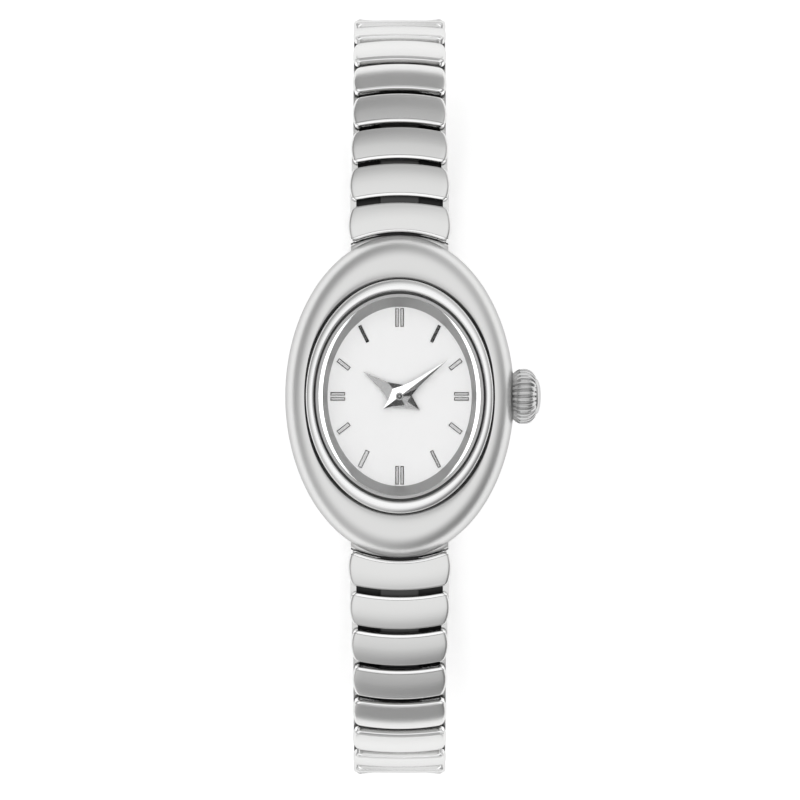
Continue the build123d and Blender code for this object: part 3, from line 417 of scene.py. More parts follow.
class WATCH_OT_case(Operator):
    """Build the smooth case ring, its lug blocks and the case back"""
    bl_idname = "watch.case"
    bl_label = "Case"

    def execute(self, context):
        case = context.scene.watch_case
        steels = ("satin_steel", "shadowed_steel")
        rings = case_rings(case, context.scene.watch_bezel)
        # The seam's walls beside the bezel take the near-black steel as painted shade
        seam = len(rings) - SEAM_RINGS
        add_oval("case_ring", rings, True, "case_body", steels, second=(seam, seam + 1))
        for side, word in SIDES:
            shape, tones = lug_mesh(case, side)
            lug = add_piece(f"lug_block_{word}", shape, "case", "case_body", steels,
                            tones=tones)
            start, end = sorted((side * POCKET_START, side * (case.lug_reach + MM)))
            # The pocket's walls take the near-black steel as painted shade
            cut_box(lug, (-POCKET_HALF_WIDTH, start, POCKET_LOW), (POCKET_HALF_WIDTH, end, POCKET_TOP),
                    "shadowed_steel")
        add_oval("back_plate", back_rings(case), False, "case_back", ("back_steel",))
        return {"FINISHED"}


# Bezel, crystal and flange

BEZEL_SECTION = ((0.0, 0.0), (0.0, 0.62), (0.02, 0.72), (0.05, 0.79), (0.10, 0.85), (0.18, 0.905),
                 (0.30, 0.955), (0.42, 0.985), (0.54, 1.0), (0.64, 0.995), (0.72, 0.97), (0.78, 0.93),
                 (0.81, 0.88), (0.83, 0.80), (0.85, 0.62), (0.97, 0.45))
GLASS_BEVEL = 0.12 * MM
CEMENT_DEPTH = 0.12 * MM
CEMENT_HOLLOW = 0.05 * MM
CEMENT_WALL = 0.01 * MM
FLANGE_GAP = 0.02 * MM
FLANGE_LIP = 0.05 * MM


def bezel_rings(bezel):
    """Closed section of the bezel: a low rounded crest over a neck."""
    rise = bezel.crest_height - bezel.seat_height
    rings = [between(bezel.outline, bezel.inner, share_in, bezel.seat_height + rise * share_up)
             for share_in, share_up in BEZEL_SECTION]
    low = bezel.seat_height - bezel.neck_height
    return rings + [grown(bezel.inner, 0.0, low), grown(bezel.inner, bezel.neck_wall, low),
                    grown(bezel.inner, bezel.neck_wall, bezel.seat_height)]


def glass_rings(bezel):
    """Flat crystal with a bevelled rim."""
    low, top = bezel.glass_low, bezel.glass_top
    edge = grown(bezel.inner, -bezel.glass_gap, top - GLASS_BEVEL)
    return [(POLE, POLE, low), grown(edge, -GLASS_BEVEL / 2, low), grown(edge, 0.0, low + GLASS_BEVEL / 2),
            edge, grown(edge, -GLASS_BEVEL, top), (POLE, POLE, top)]


def flange_rings(bezel):
    """Closed section of the sloping ring between the dial and the crystal."""
    low, top = bezel.flange_low, bezel.glass_low - FLANGE_GAP
    wall = grown(bezel.inner, -FLANGE_GAP, top)
    rim = (wall[0] - bezel.flange_rim[0], wall[1] - bezel.flange_rim[1], top - FLANGE_GAP)
    return [grown(wall, 0.0, low), wall, rim, grown(rim, -FLANGE_LIP, top - FLANGE_LIP * 2),
            grown(bezel.flange, FLANGE_LIP, low + FLANGE_LIP * 2), grown(bezel.flange, 0.0, low)]


def cement_rings(bezel):
    """Closed section of the cement line round the crystal: a real seal, its dark grey also painted shade
    for the groove.
    """
    low, top = bezel.glass_low, bezel.glass_top - CEMENT_DEPTH
    outer = grown(bezel.inner, -CEMENT_WALL, top)
    inner = grown(bezel.inner, CEMENT_WALL - bezel.glass_gap, top)
    return [grown(outer, 0.0, low), outer, between(outer, inner, 0.5, top - CEMENT_HOLLOW), inner,
            grown(inner, 0.0, low)]


class WATCH_OT_bezel(Operator):
    """Build the polished bezel, the crystal and the flange under it"""
    bl_idname = "watch.bezel"
    bl_label = "Bezel and crystal"

    def execute(self, context):
        bezel = context.scene.watch_bezel
        # The bezel's outer wall, down in the seam, takes the near-black steel as painted shade
        add_oval("bezel_ring", bezel_rings(bezel), True, "bezel",
                 ("polished_steel", "shadowed_steel"), second=(0,))
        add_oval("crystal_glass", glass_rings(bezel), False, "crystal",
                 ("crystal_glass",), creases=20.0)
        add_oval("flange_ring", flange_rings(bezel), True, "inner_flange",
                 ("flange_steel", "edge_steel"), creases=20.0, second=(1,))
        add_oval("crystal_cement", cement_rings(bezel), True, None, ("cement_and_groove_shade",))
        return {"FINISHED"}


# Hour markers

ONE_TURN = 26.0
TWO_TURN = 52.0
BATON_LEVELS = (0.0, 0.55, 0.92)
# For each face of a baton, painted light and shade: 0 its own steel, 1 painted dark shade, 2 painted grey
# half shade
BATON_PAINTED_SHADES = {
    "plain": (2,) * 9 + (0,) * 4,
    "light": (0,) * 13,
    "grey": (2,) * 13,
    "dark": (1,) * 13,
    "right": (2, 2, 1, 2, 2, 2, 1, 2, 2, 0, 0, 0, 0),
    "left": (2, 2, 2, 2, 1, 2, 2, 2, 1, 0, 0, 0, 0),
}


def turned(points, centre, turn):
    """Points turned clockwise in plan by some degrees and set at a centre."""
    angle = math.radians(-turn)
    across, along = math.cos(angle), math.sin(angle)
    return [(centre[0] + x * across - y * along, centre[1] + x * along + y * across, z)
            for x, y, z in points]


def roof_mesh(width, reach, low, height, bevel):
    """Points and faces of one applied baton: upright walls, bevelled edges and a low roof."""
    half, tall = width / 2, reach / 2
    points = []
    for inset, level in zip((0.0, 0.0, bevel), BATON_LEVELS):
        a, b, z = half - inset, tall - inset, low + height * level
        points += [(-a, -b, z), (a, -b, z), (a, b, z), (-a, b, z)]
    points += [(0.0, -tall + half, low + height), (0.0, tall - half, low + height)]
    roof = [(8, 9, 12), (9, 10, 13, 12), (10, 11, 13), (11, 8, 12, 13)]
    return points, [(3, 2, 1, 0), *bridge_rings(len(BATON_LEVELS), 4, False), *roof]


def marker_places(marks):
    """Centre, turn, width, length and painted shade of every baton on the dial."""
    offset = (marks.double_gap + marks.width) / 2
    places = []
    for side in (1, -1):
        for shift, beside, under in ((offset, "right", "left"), (-offset, "left", "right")):
            places.append(((shift, side * marks.twelve_y), 0.0, marks.width, marks.long_length, beside))
            places.append(((side * marks.three_x, shift), 90.0, marks.width, marks.short_length, under))
        for up in (1, -1):
            turn = side * up
            # Painted shade by place: wholly dark at one and eleven, grey at five, own steel at seven
            low_tone = "grey" if side > 0 else "light"
            tone = "dark" if up > 0 else low_tone
            wide = marks.corner_width if tone == "light" else marks.width
            places.append(((side * marks.one[0], up * marks.one[1]), turn * ONE_TURN, wide,
                           marks.long_length, tone))
            places.append(((side * marks.two[0], up * marks.two[1]), turn * TWO_TURN, marks.corner_width,
                           marks.short_length, "plain"))
    return places


class WATCH_OT_markers(Operator):
    """Build the applied steel batons of the dial"""
    bl_idname = "watch.markers"
    bl_label = "Hour markers"

    def execute(self, context):
        marks = context.scene.watch_marks
        low = context.scene.watch_bezel.flange_low
        vertices, faces, tones = [], [], []
        for centre, turn, width, reach, tone in marker_places(marks):
            points, loops = roof_mesh(width, reach, low, marks.height, marks.bevel)
            start = len(vertices)
            vertices += turned(points, centre, turn)
            faces += [tuple(start + index for index in loop) for loop in loops]
            tones += BATON_PAINTED_SHADES[tone]
        add_piece("marker_batons", (vertices, faces), "case", "hour_markers",
                  ("marker_steel", "shaded_steel", "grey_steel"), creases=10.0, tones=tones)
        return {"FINISHED"}


# Hands

MINUTE_SIDE = ((5.5, 0.0), (2.67, 0.27), (1.78, 0.39), (0.83, 0.62), (-0.1, 0.94), (-1.02, 0.36),
               (-1.9, 0.0))
HOUR_SIDE = ((4.02, 0.0), (2.3, 0.32), (1.67, 0.45), (0.35, 1.03), (-0.05, 1.18), (-0.92, 0.66),
             (-2.23, 0.0))
# Painted reflection on each facet of a hand, round from the tip, by which way it faces: 0 bright, 1 painted
# grey half shade, 2 painted dark shade
MINUTE_PAINTED_SHADES = (1, 1, 2, 1, 2, 2, 0, 0, 0, 0, 0, 0)
HOUR_PAINTED_SHADES = (1, 1, 2, 2, 2, 2, 1, 1, 1, 1, 1, 1)
ARBOR_SEGMENTS = 48
ARBOR_SECTION = ((1.0, -0.14), (1.0, -0.03), (0.92, 0.0), (0.66, 0.0), (0.60, -0.05), (0.34, -0.05),
                 (0.28, 0.0), (0.12, 0.02), (0.01, 0.02))
ARBOR_SHADED_GROOVE = (3, 4, 5)


def hand_mesh(points, low, base, ridge, angle):
    """Points and faces of a hand: a thin base under facets that rise to the arbor."""
    count = len(points)
    vertices = [(side, along, z) for z in (low, low + base) for along, side in points]
    vertices.append((0.0, 0.0, low + base + ridge))
    pairs = [(step, (step + 1) % count) for step in range(count)]
    faces = [tuple(range(count))]
    faces += [(after, step, count + step, count + after) for step, after in pairs]
    faces += [(count + after, count + step, 2 * count) for step, after in pairs]
    return turned(vertices, (0.0, 0.0), angle), faces


def mirrored(half):
    """A full outline from one side's points, tip first."""
    return half + [(along, -side) for along, side in reversed(half[1:-1])]


class WATCH_OT_hands(Operator):
    """Build the two faceted hands and the cap of the arbor"""
    bl_idname = "watch.hands"
    bl_label = "Hands"

    def execute(self, context):
        sizes = context.scene.watch_hands
        for word, side, tones, low, angle in (
                ("minute", MINUTE_SIDE, MINUTE_PAINTED_SHADES, sizes.minute_low, sizes.minute_angle),
                ("hour", HOUR_SIDE, HOUR_PAINTED_SHADES, sizes.hour_low, sizes.hour_angle)):
            # Underside and edge walls take the painted half shade; the facets take their painted
            # reflection, bright, grey or dark
            outline = mirrored([(along * MM, across * MM) for along, across in side])
            add_piece(f"{word}_hand_blade", hand_mesh(outline, low, sizes.base, sizes.ridge, angle),
                      f"{word}_arbor", f"{word}_hand",
                      ("hand_steel", "grey_steel", "shaded_steel"), creases=5.0,
                      tones=[1] * (1 + len(outline)) + list(tones))
        top, radius = sizes.minute_low + sizes.cap_height, sizes.cap_radius
        rings = [(radius * out, radius * out, top + rise * MM) for out, rise in ARBOR_SECTION]
        # The cap takes the painted half shade all over and the painted dark shade in its groove
        add_piece("hand_cap", oval_stack(rings, ARBOR_SEGMENTS, False), "minute_arbor", "minute_hand",
                  ("grey_steel", "shaded_steel"), creases=25.0,
                  tones=banded(len(rings) - 1, ARBOR_SEGMENTS, ARBOR_SHADED_GROOVE) + [0, 0])
        return {"FINISHED"}


# Crown

BARREL_STEPS = 24
DOME_STEPS = 10
BARREL_POWER = 3.2
INNER_EDGE_SHARE = 0.9
CAP_INSET = 0.12 * MM
CAP_STEP = 0.02 * MM
RIB_SEGMENTS = 12
GROOVE_SHARE = 0.2
RIB_DOME = 0.25


def barrel_radius(crown, along):
    """Radius of the barrel at a share of its length: full in the middle, rounded away to the cap."""
    crest = crown.crest_share
    if along < crest:
        return crown.radius - (crown.radius - crown.end_radius) * ((crest - along) / crest) ** 2
    fall = ((along - crest) / (1 - crest)) ** BARREL_POWER
    return crown.radius - (crown.radius - crown.cap_radius) * fall


def crown_profile(crown):
    """Half section of the crown as (along the axis, radius, rib depth share)."""
    start, end = crown.start, crown.start + crown.barrel
    profile = [(start + crown.bore_depth, POLE, 0), (start + crown.bore_depth, crown.bore_radius, 0),
               (start, crown.bore_radius, 0), (start, crown.end_radius * INNER_EDGE_SHARE, 0.5)]
    for step in range(BARREL_STEPS + 1):
        along = step / BARREL_STEPS
        profile.append((start + crown.barrel * along, barrel_radius(crown, along), 1.0))
    rim = crown.cap_radius - CAP_INSET
    for turn in quarter(DOME_STEPS):
        profile.append((end + CAP_STEP + (crown.cap_height - CAP_STEP) * math.sin(turn),
                        max(rim * math.cos(turn), POLE), 0))
    return profile


def rib_wave(turn, ribs):
    """0 on top of a rib and 1 in the narrow groove beside it."""
    place = (turn * ribs / TURN) % 1.0
    return math.exp(-((place - 0.5) / GROOVE_SHARE) ** 2) + RIB_DOME * (2 * place - 1) ** 2 - RIB_DOME


class WATCH_OT_crown(Operator):
    """Build the ribbed crown with its smooth domed cap"""
    bl_idname = "watch.crown"
    bl_label = "Crown"

    def execute(self, context):
        crown = context.scene.watch_crown
        middle = context.scene.watch_case.mid_height
        profile = crown_profile(crown)
        segments = crown.ribs * RIB_SEGMENTS
        vertices = []
        for x, radius, depth in profile:
            for step in range(segments):
                turn = TURN * step / segments
                reach = radius - crown.rib_depth * depth * rib_wave(turn, crown.ribs)
                vertices.append((x, reach * math.cos(turn), middle + reach * math.sin(turn)))
        faces = bridge_rings(len(profile), segments, False) + end_caps(len(profile), segments)
        add_piece("crown_knob", (vertices, faces), "crown_shaft", "crown",
                  ("crown_steel",), creases=40.0)
        return {"FINISHED"}


# Bracelet

LINK_FINISHES = ("link_steel", "edge_steel", "shadowed_steel", "shadowed_strap_steel")
# Finish numbers of a link; shade and strap are near-black painted shade on the hardware deep in the gaps
COVER_TONE, SHADE_TONE, SHADOWED_STRAP_TONE = 0, 2, 3
LINKS_PER_SIDE = 20
SINGLE_LINKS = 8
FIRST_Y = 16.5 * MM
FIRST_Z = 2.4 * MM
FIRST_TILT = 3.0
UPPER_TURN = 1.4
UPPER_GAIN = 0.075
CLOSING_ROUNDS = 50
WIDENING = (1.085, 1.06, 1.03)
COVER_RIM = 0.62 * MM
POST_THICKNESS = 0.34 * MM
STRAP_HALF_WIDTH = 1.75 * MM
STRAP_THICKNESS = 0.3 * MM
STRAP_OFFSET = 0.25 * MM
STRAP_ENTRY = 0.5 * MM
STRAP_ROOT = 0.18 * MM
CLIP_WIDTH = 0.55 * MM
CLIP_INSET = 0.06 * MM
TRAY_DEPTH = 0.95 * MM
TRAY_THICKNESS = 0.22 * MM
TRAY_INSET = 0.12 * MM
TRAY_ROOT = 0.38 * MM
FIRST_TRAY_END = 0.1 * MM
EDGE_BEVEL = 0.03 * MM
EDGE_BEVEL_ANGLE = 60


def upper_tilt(travel):
    """Tilt of a separate link, in degrees, after some millimetres of bracelet."""
    return FIRST_TILT + UPPER_TURN * travel + UPPER_GAIN * travel ** 2


def link_tilts(exponent, pitch):
    """Tilt of each link: faster and faster down to the side, then flattening to the closing point."""
    start = (SINGLE_LINKS - 1) * pitch
    end = (LINKS_PER_SIDE - 0.5) * pitch
    left = 180.0 - upper_tilt(start)
    values = [upper_tilt(number * pitch) for number in range(SINGLE_LINKS)]
    for number in range(SINGLE_LINKS, LINKS_PER_SIDE):
        values.append(180.0 - left * ((end - number * pitch) / (end - start)) ** exponent)
    return values


def chord_tilts(values):
    """Tilt of the line to each link from the one before it."""
    return [values[0]] + [(before + after) / 2 for before, after in zip(values, values[1:])]


def link_path(pitch):
    """Tilts, chords and centres of all links of one side, closed under the wrist."""
    low, high = 1.0, 4.0
    for attempt in range(CLOSING_ROUNDS):
        exponent = (low + high) / 2
        values = link_tilts(exponent, pitch / MM)
        chords = chord_tilts(values)
        y = FIRST_Y + sum(pitch * math.cos(math.radians(chord)) for chord in chords[1:])
        if y > pitch / 2:
            low = exponent
        else:
            high = exponent
    centres = [(FIRST_Y, FIRST_Z)]
    for chord in chords[1:]:
        turn = math.radians(chord)
        centres.append((centres[-1][0] + pitch * math.cos(turn), centres[-1][1] - pitch * math.sin(turn)))
    return values, chords, centres


def tilted(centre, tilt):
    """Matrix of a place on the bracelet: X across it, Y along it, Z outward."""
    turn = math.radians(tilt)
    along = Vector((0, math.cos(turn), -math.sin(turn)))
    outward = Vector((0, math.sin(turn), math.cos(turn)))
    matrix = Matrix((Vector((1, 0, 0)), along, outward)).transposed().to_4x4()
    matrix.translation = Vector((0, centre[0], centre[1]))
    return matrix


LIP_EDGE = ((0.0, 0.09), (0.03, 0.05), (0.07, 0.03))
LIP_STEP = 0.03 * MM
LIP_ROWS = (1, 2, 3)
DOME_ROWS = 18
FAR_EDGE_STEPS = 5
FAR_FOOT_SHARE = 0.3
END_STEPS = 7
COVER_COLUMNS = 20


def cover_rows(link, cover_length):
    """Section of a cover along the bracelet as (place, height)."""
    near, far = -cover_length / 2, cover_length / 2
    crest_y = near + cover_length * link.crest_share
    radius, wide = link.edge_radius, link.lip_width
    lip = link.edge_near - link.lip_drop
    rows = [(near, 0.0)]
    rows += [(near + along * MM, lip - down * MM) for along, down in LIP_EDGE]
    rows.append((near + wide, lip))

    def dome(y):
        if y < crest_y:
            return link.crest - (link.crest - link.edge_near) * ((crest_y - y) / (crest_y - near)) ** 2
        return link.crest - (link.crest - link.edge_far) * ((y - crest_y) / (far - crest_y)) ** 2

    dome_length = cover_length - wide - LIP_STEP - radius
    for step in range(DOME_ROWS - 1):
        y = near + wide + LIP_STEP + dome_length * step / (DOME_ROWS - 1)
        rows.append((y, dome(y)))
    top_far = dome(far - radius)
    for turn in reversed(quarter(FAR_EDGE_STEPS)):
        rows.append((far - radius * (1 - math.cos(turn)), top_far - radius * (1 - math.sin(turn))))
    return rows + [(far, link.edge_far * FAR_FOOT_SHARE), (far, 0.0)]


def cover_columns(link):
    """Steps across a cover as (share of the flat width, step in from the end, height share)."""
    columns = [(-1 + 2 * step / COVER_COLUMNS, 0.0, 1.0) for step in range(COVER_COLUMNS + 1)]
    fall = link.end_radius / link.crest
    ends = [(link.end_radius * math.sin(turn), 1 - fall * (1 - math.cos(turn)))
            for turn in quarter(END_STEPS)[1:]]
    ends += [(link.end_radius, (1 - fall) * 0.5), (link.end_radius, 0.0)]
    left = [(-1.0, -out, height) for out, height in reversed(ends)]
    return left + columns + [(1.0, out, height) for out, height in ends]


def end_reach(link, half_width, place):
    """Half width of the cover at a place from -1 to 1 along it: bulged, with rounded corners."""
    reach = half_width - link.bulge * place ** 2
    corner_share = 2 * link.corner / link.cover_length
    over = max(0.0, (abs(place) - 1 + corner_share) / corner_share)
    return reach - link.corner * (1 - math.sqrt(max(0.0, 1 - over ** 2)))


def cover_mesh(link, half_width, cover_length, near_bow):
    """Points, faces and finishes of one domed crescent cover in its own place."""
    rows = cover_rows(link, cover_length)
    columns = cover_columns(link)
    flat_half = half_width - link.bulge
    vertices = []
    for y, z in rows:
        place = 2 * y / cover_length
        bow = near_bow + (link.bow - near_bow) * (place + 1) / 2
        reach = end_reach(link, half_width, place) - link.end_radius
        for base, out, height in columns:
            x = base * reach + out
            vertices.append((x, y - bow * (x / flat_half) ** 2, z * height))
    per = len(columns)
    faces = bridge_rings(len(rows), per, False, False)
    rim = list(range(per)) + [row * per + per - 1 for row in range(1, len(rows))]
    rim += [(len(rows) - 1) * per + column for column in range(per - 2, -1, -1)]
    rim += [row * per for row in range(len(rows) - 2, 0, -1)]
    faces.append(tuple(reversed(rim)))
    return vertices, faces, banded(len(rows) - 1, per - 1, LIP_ROWS) + [0]


def side_pair(near, far, start, end, low, high, tone):
    """Two equal blocks to the right and left of the middle."""
    blocks = []
    for side in (1, -1):
        left, right = sorted((side * near, side * far))
        blocks.append(((left, start, low), (right, end, high), tone))
    return blocks


def tray_block(half_width, start, end):
    """Tray under the bracelet between two places, in painted shade."""
    half = half_width - TRAY_INSET
    return (-half, start, -TRAY_DEPTH), (half, end, TRAY_THICKNESS - TRAY_DEPTH), SHADE_TONE


def gap_blocks(link, half_width):
    """Strap, edge clips and tray that cross one gap, each with its finish: strap and tray in painted shade.
    """
    start, end = STRAP_ENTRY, link.pitch - STRAP_ROOT
    low = -STRAP_OFFSET - STRAP_THICKNESS / 2
    high = low + STRAP_THICKNESS
    outer = half_width - CLIP_INSET
    strap = ((-STRAP_HALF_WIDTH, start, low), (STRAP_HALF_WIDTH, end, high), SHADOWED_STRAP_TONE)
    return [strap, *side_pair(outer, outer - CLIP_WIDTH, start, end, low, high, COVER_TONE),
            tray_block(half_width, TRAY_ROOT, link.pitch - TRAY_ROOT)]


def post_blocks(rim):
    """Two posts under a cover's rim, in the cover's own place, in painted shade."""
    inner = STRAP_HALF_WIDTH + CLIP_WIDTH
    return side_pair(inner, inner + CLIP_WIDTH, rim - POST_THICKNESS / 2, rim + POST_THICKNESS / 2,
                     -TRAY_DEPTH, 0.0, SHADE_TONE)


class LinkMesh:
    """Gathers the pieces of one node of the bracelet, mirrored for the six o'clock side."""

    def __init__(self, side):
        self.side = side
        self.vertices = []
        self.faces = []
        self.tones = []

    def add(self, points, faces, tones, matrix):
        start = len(self.vertices)
        for point in points:
            placed = matrix @ Vector(point)
            self.vertices.append((placed.x, self.side * placed.y, placed.z))
        self.tones += tones
        for face in faces:
            loop = tuple(start + index for index in face)
            self.faces.append(loop if self.side > 0 else tuple(reversed(loop)))

    def add_blocks(self, blocks, matrix):
        for low, high, tone in blocks:
            points, faces = box_mesh(low, high)
            self.add(points, faces, [tone] * len(faces), matrix)


def widening(number):
    """How much wider than a plain link a link is."""
    return WIDENING[number] if number < len(WIDENING) else 1.0


def build_links(name, numbers, side, link, case, path):
    """One node of the bracelet: covers first, then the hardware that crosses the gaps."""
    values, chords, centres = path
    gathered = LinkMesh(side)
    lengths = {number: link.cover_length if number else link.first_length for number in numbers}
    for number in numbers:
        near_bow = link.bow if number else case.lug_bow
        gathered.add(*cover_mesh(link, link.half_width * widening(number), lengths[number], near_bow),
                     tilted(centres[number], values[number]))
    for number in numbers:
        near = -lengths[number] / 2
        blocks = post_blocks(near + COVER_RIM / 2)
        if number == 0:
            blocks.append(tray_block(link.half_width * widening(0), near + TRAY_INSET, FIRST_TRAY_END))
        gathered.add_blocks(blocks, tilted(centres[number], values[number]))
        if number > 0:
            half_width = link.half_width * min(widening(number), widening(number - 1))
            gathered.add_blocks(gap_blocks(link, half_width), tilted(centres[number - 1], chords[number]))
    if numbers[-1] == LINKS_PER_SIDE - 1 and side > 0:
        closing = tilted(centres[-1], 180.0)
        about = Matrix.Translation((0, link.pitch, 0)) @ Matrix.Rotation(math.pi, 4, "Z")
        gathered.add_blocks(gap_blocks(link, link.half_width), closing @ about)
        gathered.add_blocks(post_blocks(link.cover_length / 2 - COVER_RIM / 2), closing)
    piece = add_piece(f"{name}_shell", (gathered.vertices, gathered.faces), name, name,
                      LINK_FINISHES, creases=40.0, tones=gathered.tones)
    bevel = piece.modifiers.new("Edges", "BEVEL")
    bevel.width = EDGE_BEVEL
    bevel.segments = 2
    bevel.limit_method = "ANGLE"
    bevel.angle_limit = math.radians(EDGE_BEVEL_ANGLE)
    bevel.harden_normals = False


class WATCH_OT_bracelet(Operator):
    """Build every link of the stretch bracelet"""
    bl_idname = "watch.bracelet"
    bl_label = "Bracelet"

    def execute(self, context):
        link, case = context.scene.watch_link, context.scene.watch_case
        path = link_path(link.pitch)
        for side, word in SIDES:
            for number in range(SINGLE_LINKS):
                build_links(f"{word}_link_{number + 1}", [number], side, link, case, path)
            for pair in range((LINKS_PER_SIDE - SINGLE_LINKS) // 2):
                first = SINGLE_LINKS + 2 * pair
                build_links(f"{word}_link_pair_{pair + 1}", [first, first + 1], side, link, case, path)
        return {"FINISHED"}


# Finishes

def empty_tree(owner):
    """Turn on the nodes of a material or a world, and start them empty."""
    owner.use_nodes = True
    owner.node_tree.nodes.clear()
    return owner.node_tree


def add_node(tree, kind, operation=None, constants=None):
    """A new shader node with its operation and the constants of its sockets."""
    node = tree.nodes.new(f"ShaderNode{kind}")
    if operation:
        node.operation = operation
    for socket, value in (constants or {}).items():
        node.inputs[socket].default_value = value
    return node


def join(tree, *links):
    """Link sockets, each link as (node, output, node, input)."""
    for start, output, end, socket in links:
        tree.links.new(start.outputs[output], end.inputs[socket])


DETAIL_INPUTS = (("Grain Size", "Float", 20000.0), ("Patch Size", "Float", 300.0),
                 ("Stretch", "Vector", (1.0, 1.0, 1.0)), ("Roughness", "Float", 0.2),
                 ("Spread", "Float", 0.05), ("Colour", "Color", (0.8, 0.8, 0.8, 1.0)),
                 ("Shade", "Float", 0.04))
DETAIL_OUTPUTS = (("Colour", "Color"), ("Roughness", "Float"), ("Height", "Float"))


def grain_group():
    """Shared surface detail: a fine grain, larger uneven patches and stretched brushing."""
    group = bpy.data.node_groups.get("surface_grain")
    if group:
        return group
    group = bpy.data.node_groups.new("surface_grain", "ShaderNodeTree")
    for name, kind, default in DETAIL_INPUTS:
        socket = group.interface.new_socket(name, in_out="INPUT", socket_type=f"NodeSocket{kind}")
        socket.default_value = default
    for name, kind in DETAIL_OUTPUTS:
        group.interface.new_socket(name, in_out="OUTPUT", socket_type=f"NodeSocket{kind}")
    inside = group.nodes.new("NodeGroupInput")
    outside = group.nodes.new("NodeGroupOutput")
    place = add_node(group, "TexCoord")
    stretch = add_node(group, "VectorMath", "MULTIPLY")
    grain = add_node(group, "TexNoise", constants={"Detail": 3.0})
    patch = add_node(group, "TexNoise", constants={"Detail": 4.0})
    half = add_node(group, "Math", "MULTIPLY", {1: 0.5})
    both = add_node(group, "Math", "MULTIPLY_ADD", {1: 0.5})
    centred = add_node(group, "Math", "SUBTRACT", {1: 0.5})
    rough = add_node(group, "Math", "MULTIPLY_ADD")
    shade = add_node(group, "Math", "MULTIPLY_ADD", {2: 1.0})
    colour = add_node(group, "VectorMath", "SCALE")
    join(group, (place, "Object", stretch, 0), (inside, "Stretch", stretch, 1),
         (stretch, "Vector", grain, "Vector"), (inside, "Grain Size", grain, "Scale"),
         (place, "Object", patch, "Vector"), (inside, "Patch Size", patch, "Scale"),
         (patch, "Fac", half, 0), (grain, "Fac", both, 0), (half, "Value", both, 2),
         (both, "Value", centred, 0), (centred, "Value", rough, 0), (inside, "Spread", rough, 1),
         (inside, "Roughness", rough, 2), (centred, "Value", shade, 0), (inside, "Shade", shade, 1),
         (inside, "Colour", colour, 0), (shade, "Value", colour, "Scale"),
         (colour, "Vector", outside, "Colour"), (rough, "Value", outside, "Roughness"),
         (grain, "Fac", outside, "Height"))
    return group


def grained(title, colour, metallic, roughness, spread=0.05, grain=20000.0, patch=300.0,
            stretch=(1.0, 1.0, 1.0), shade=0.05, bump=0.05, depth=0.002, edge=1.0, sockets=None):
    """A material with the shared surface detail in its colour, roughness and relief."""
    material = bpy.data.materials.new(title)
    tree = empty_tree(material)
    output = add_node(tree, "OutputMaterial")
    shader = add_node(tree, "BsdfPrincipled", constants=sockets)
    shader.inputs["Metallic"].default_value = metallic
    shader.inputs["Specular Tint"].default_value = (edge, edge, edge, 1.0)
    detail = tree.nodes.new("ShaderNodeGroup")
    detail.node_tree = grain_group()
    for name, value in (("Grain Size", grain), ("Patch Size", patch), ("Stretch", stretch),
                        ("Roughness", roughness), ("Spread", spread), ("Colour", (*colour, 1.0)),
                        ("Shade", shade)):
        detail.inputs[name].default_value = value
    relief = add_node(tree, "Bump", constants={"Strength": bump, "Distance": depth * MM})
    join(tree, (shader, "BSDF", output, "Surface"), (detail, "Height", relief, "Height"),
         (detail, "Colour", shader, "Base Color"), (detail, "Roughness", shader, "Roughness"),
         (relief, "Normal", shader, "Normal"))
    return material


def grey(level):
    """A grey colour."""
    return (level, level, level)


BRIGHT = {"spread": 0.04, "grain": 9000.0, "bump": 0.04}
FINE = {"grain": 9000.0}
WORN = {"spread": 0.08, "bump": 0.1}

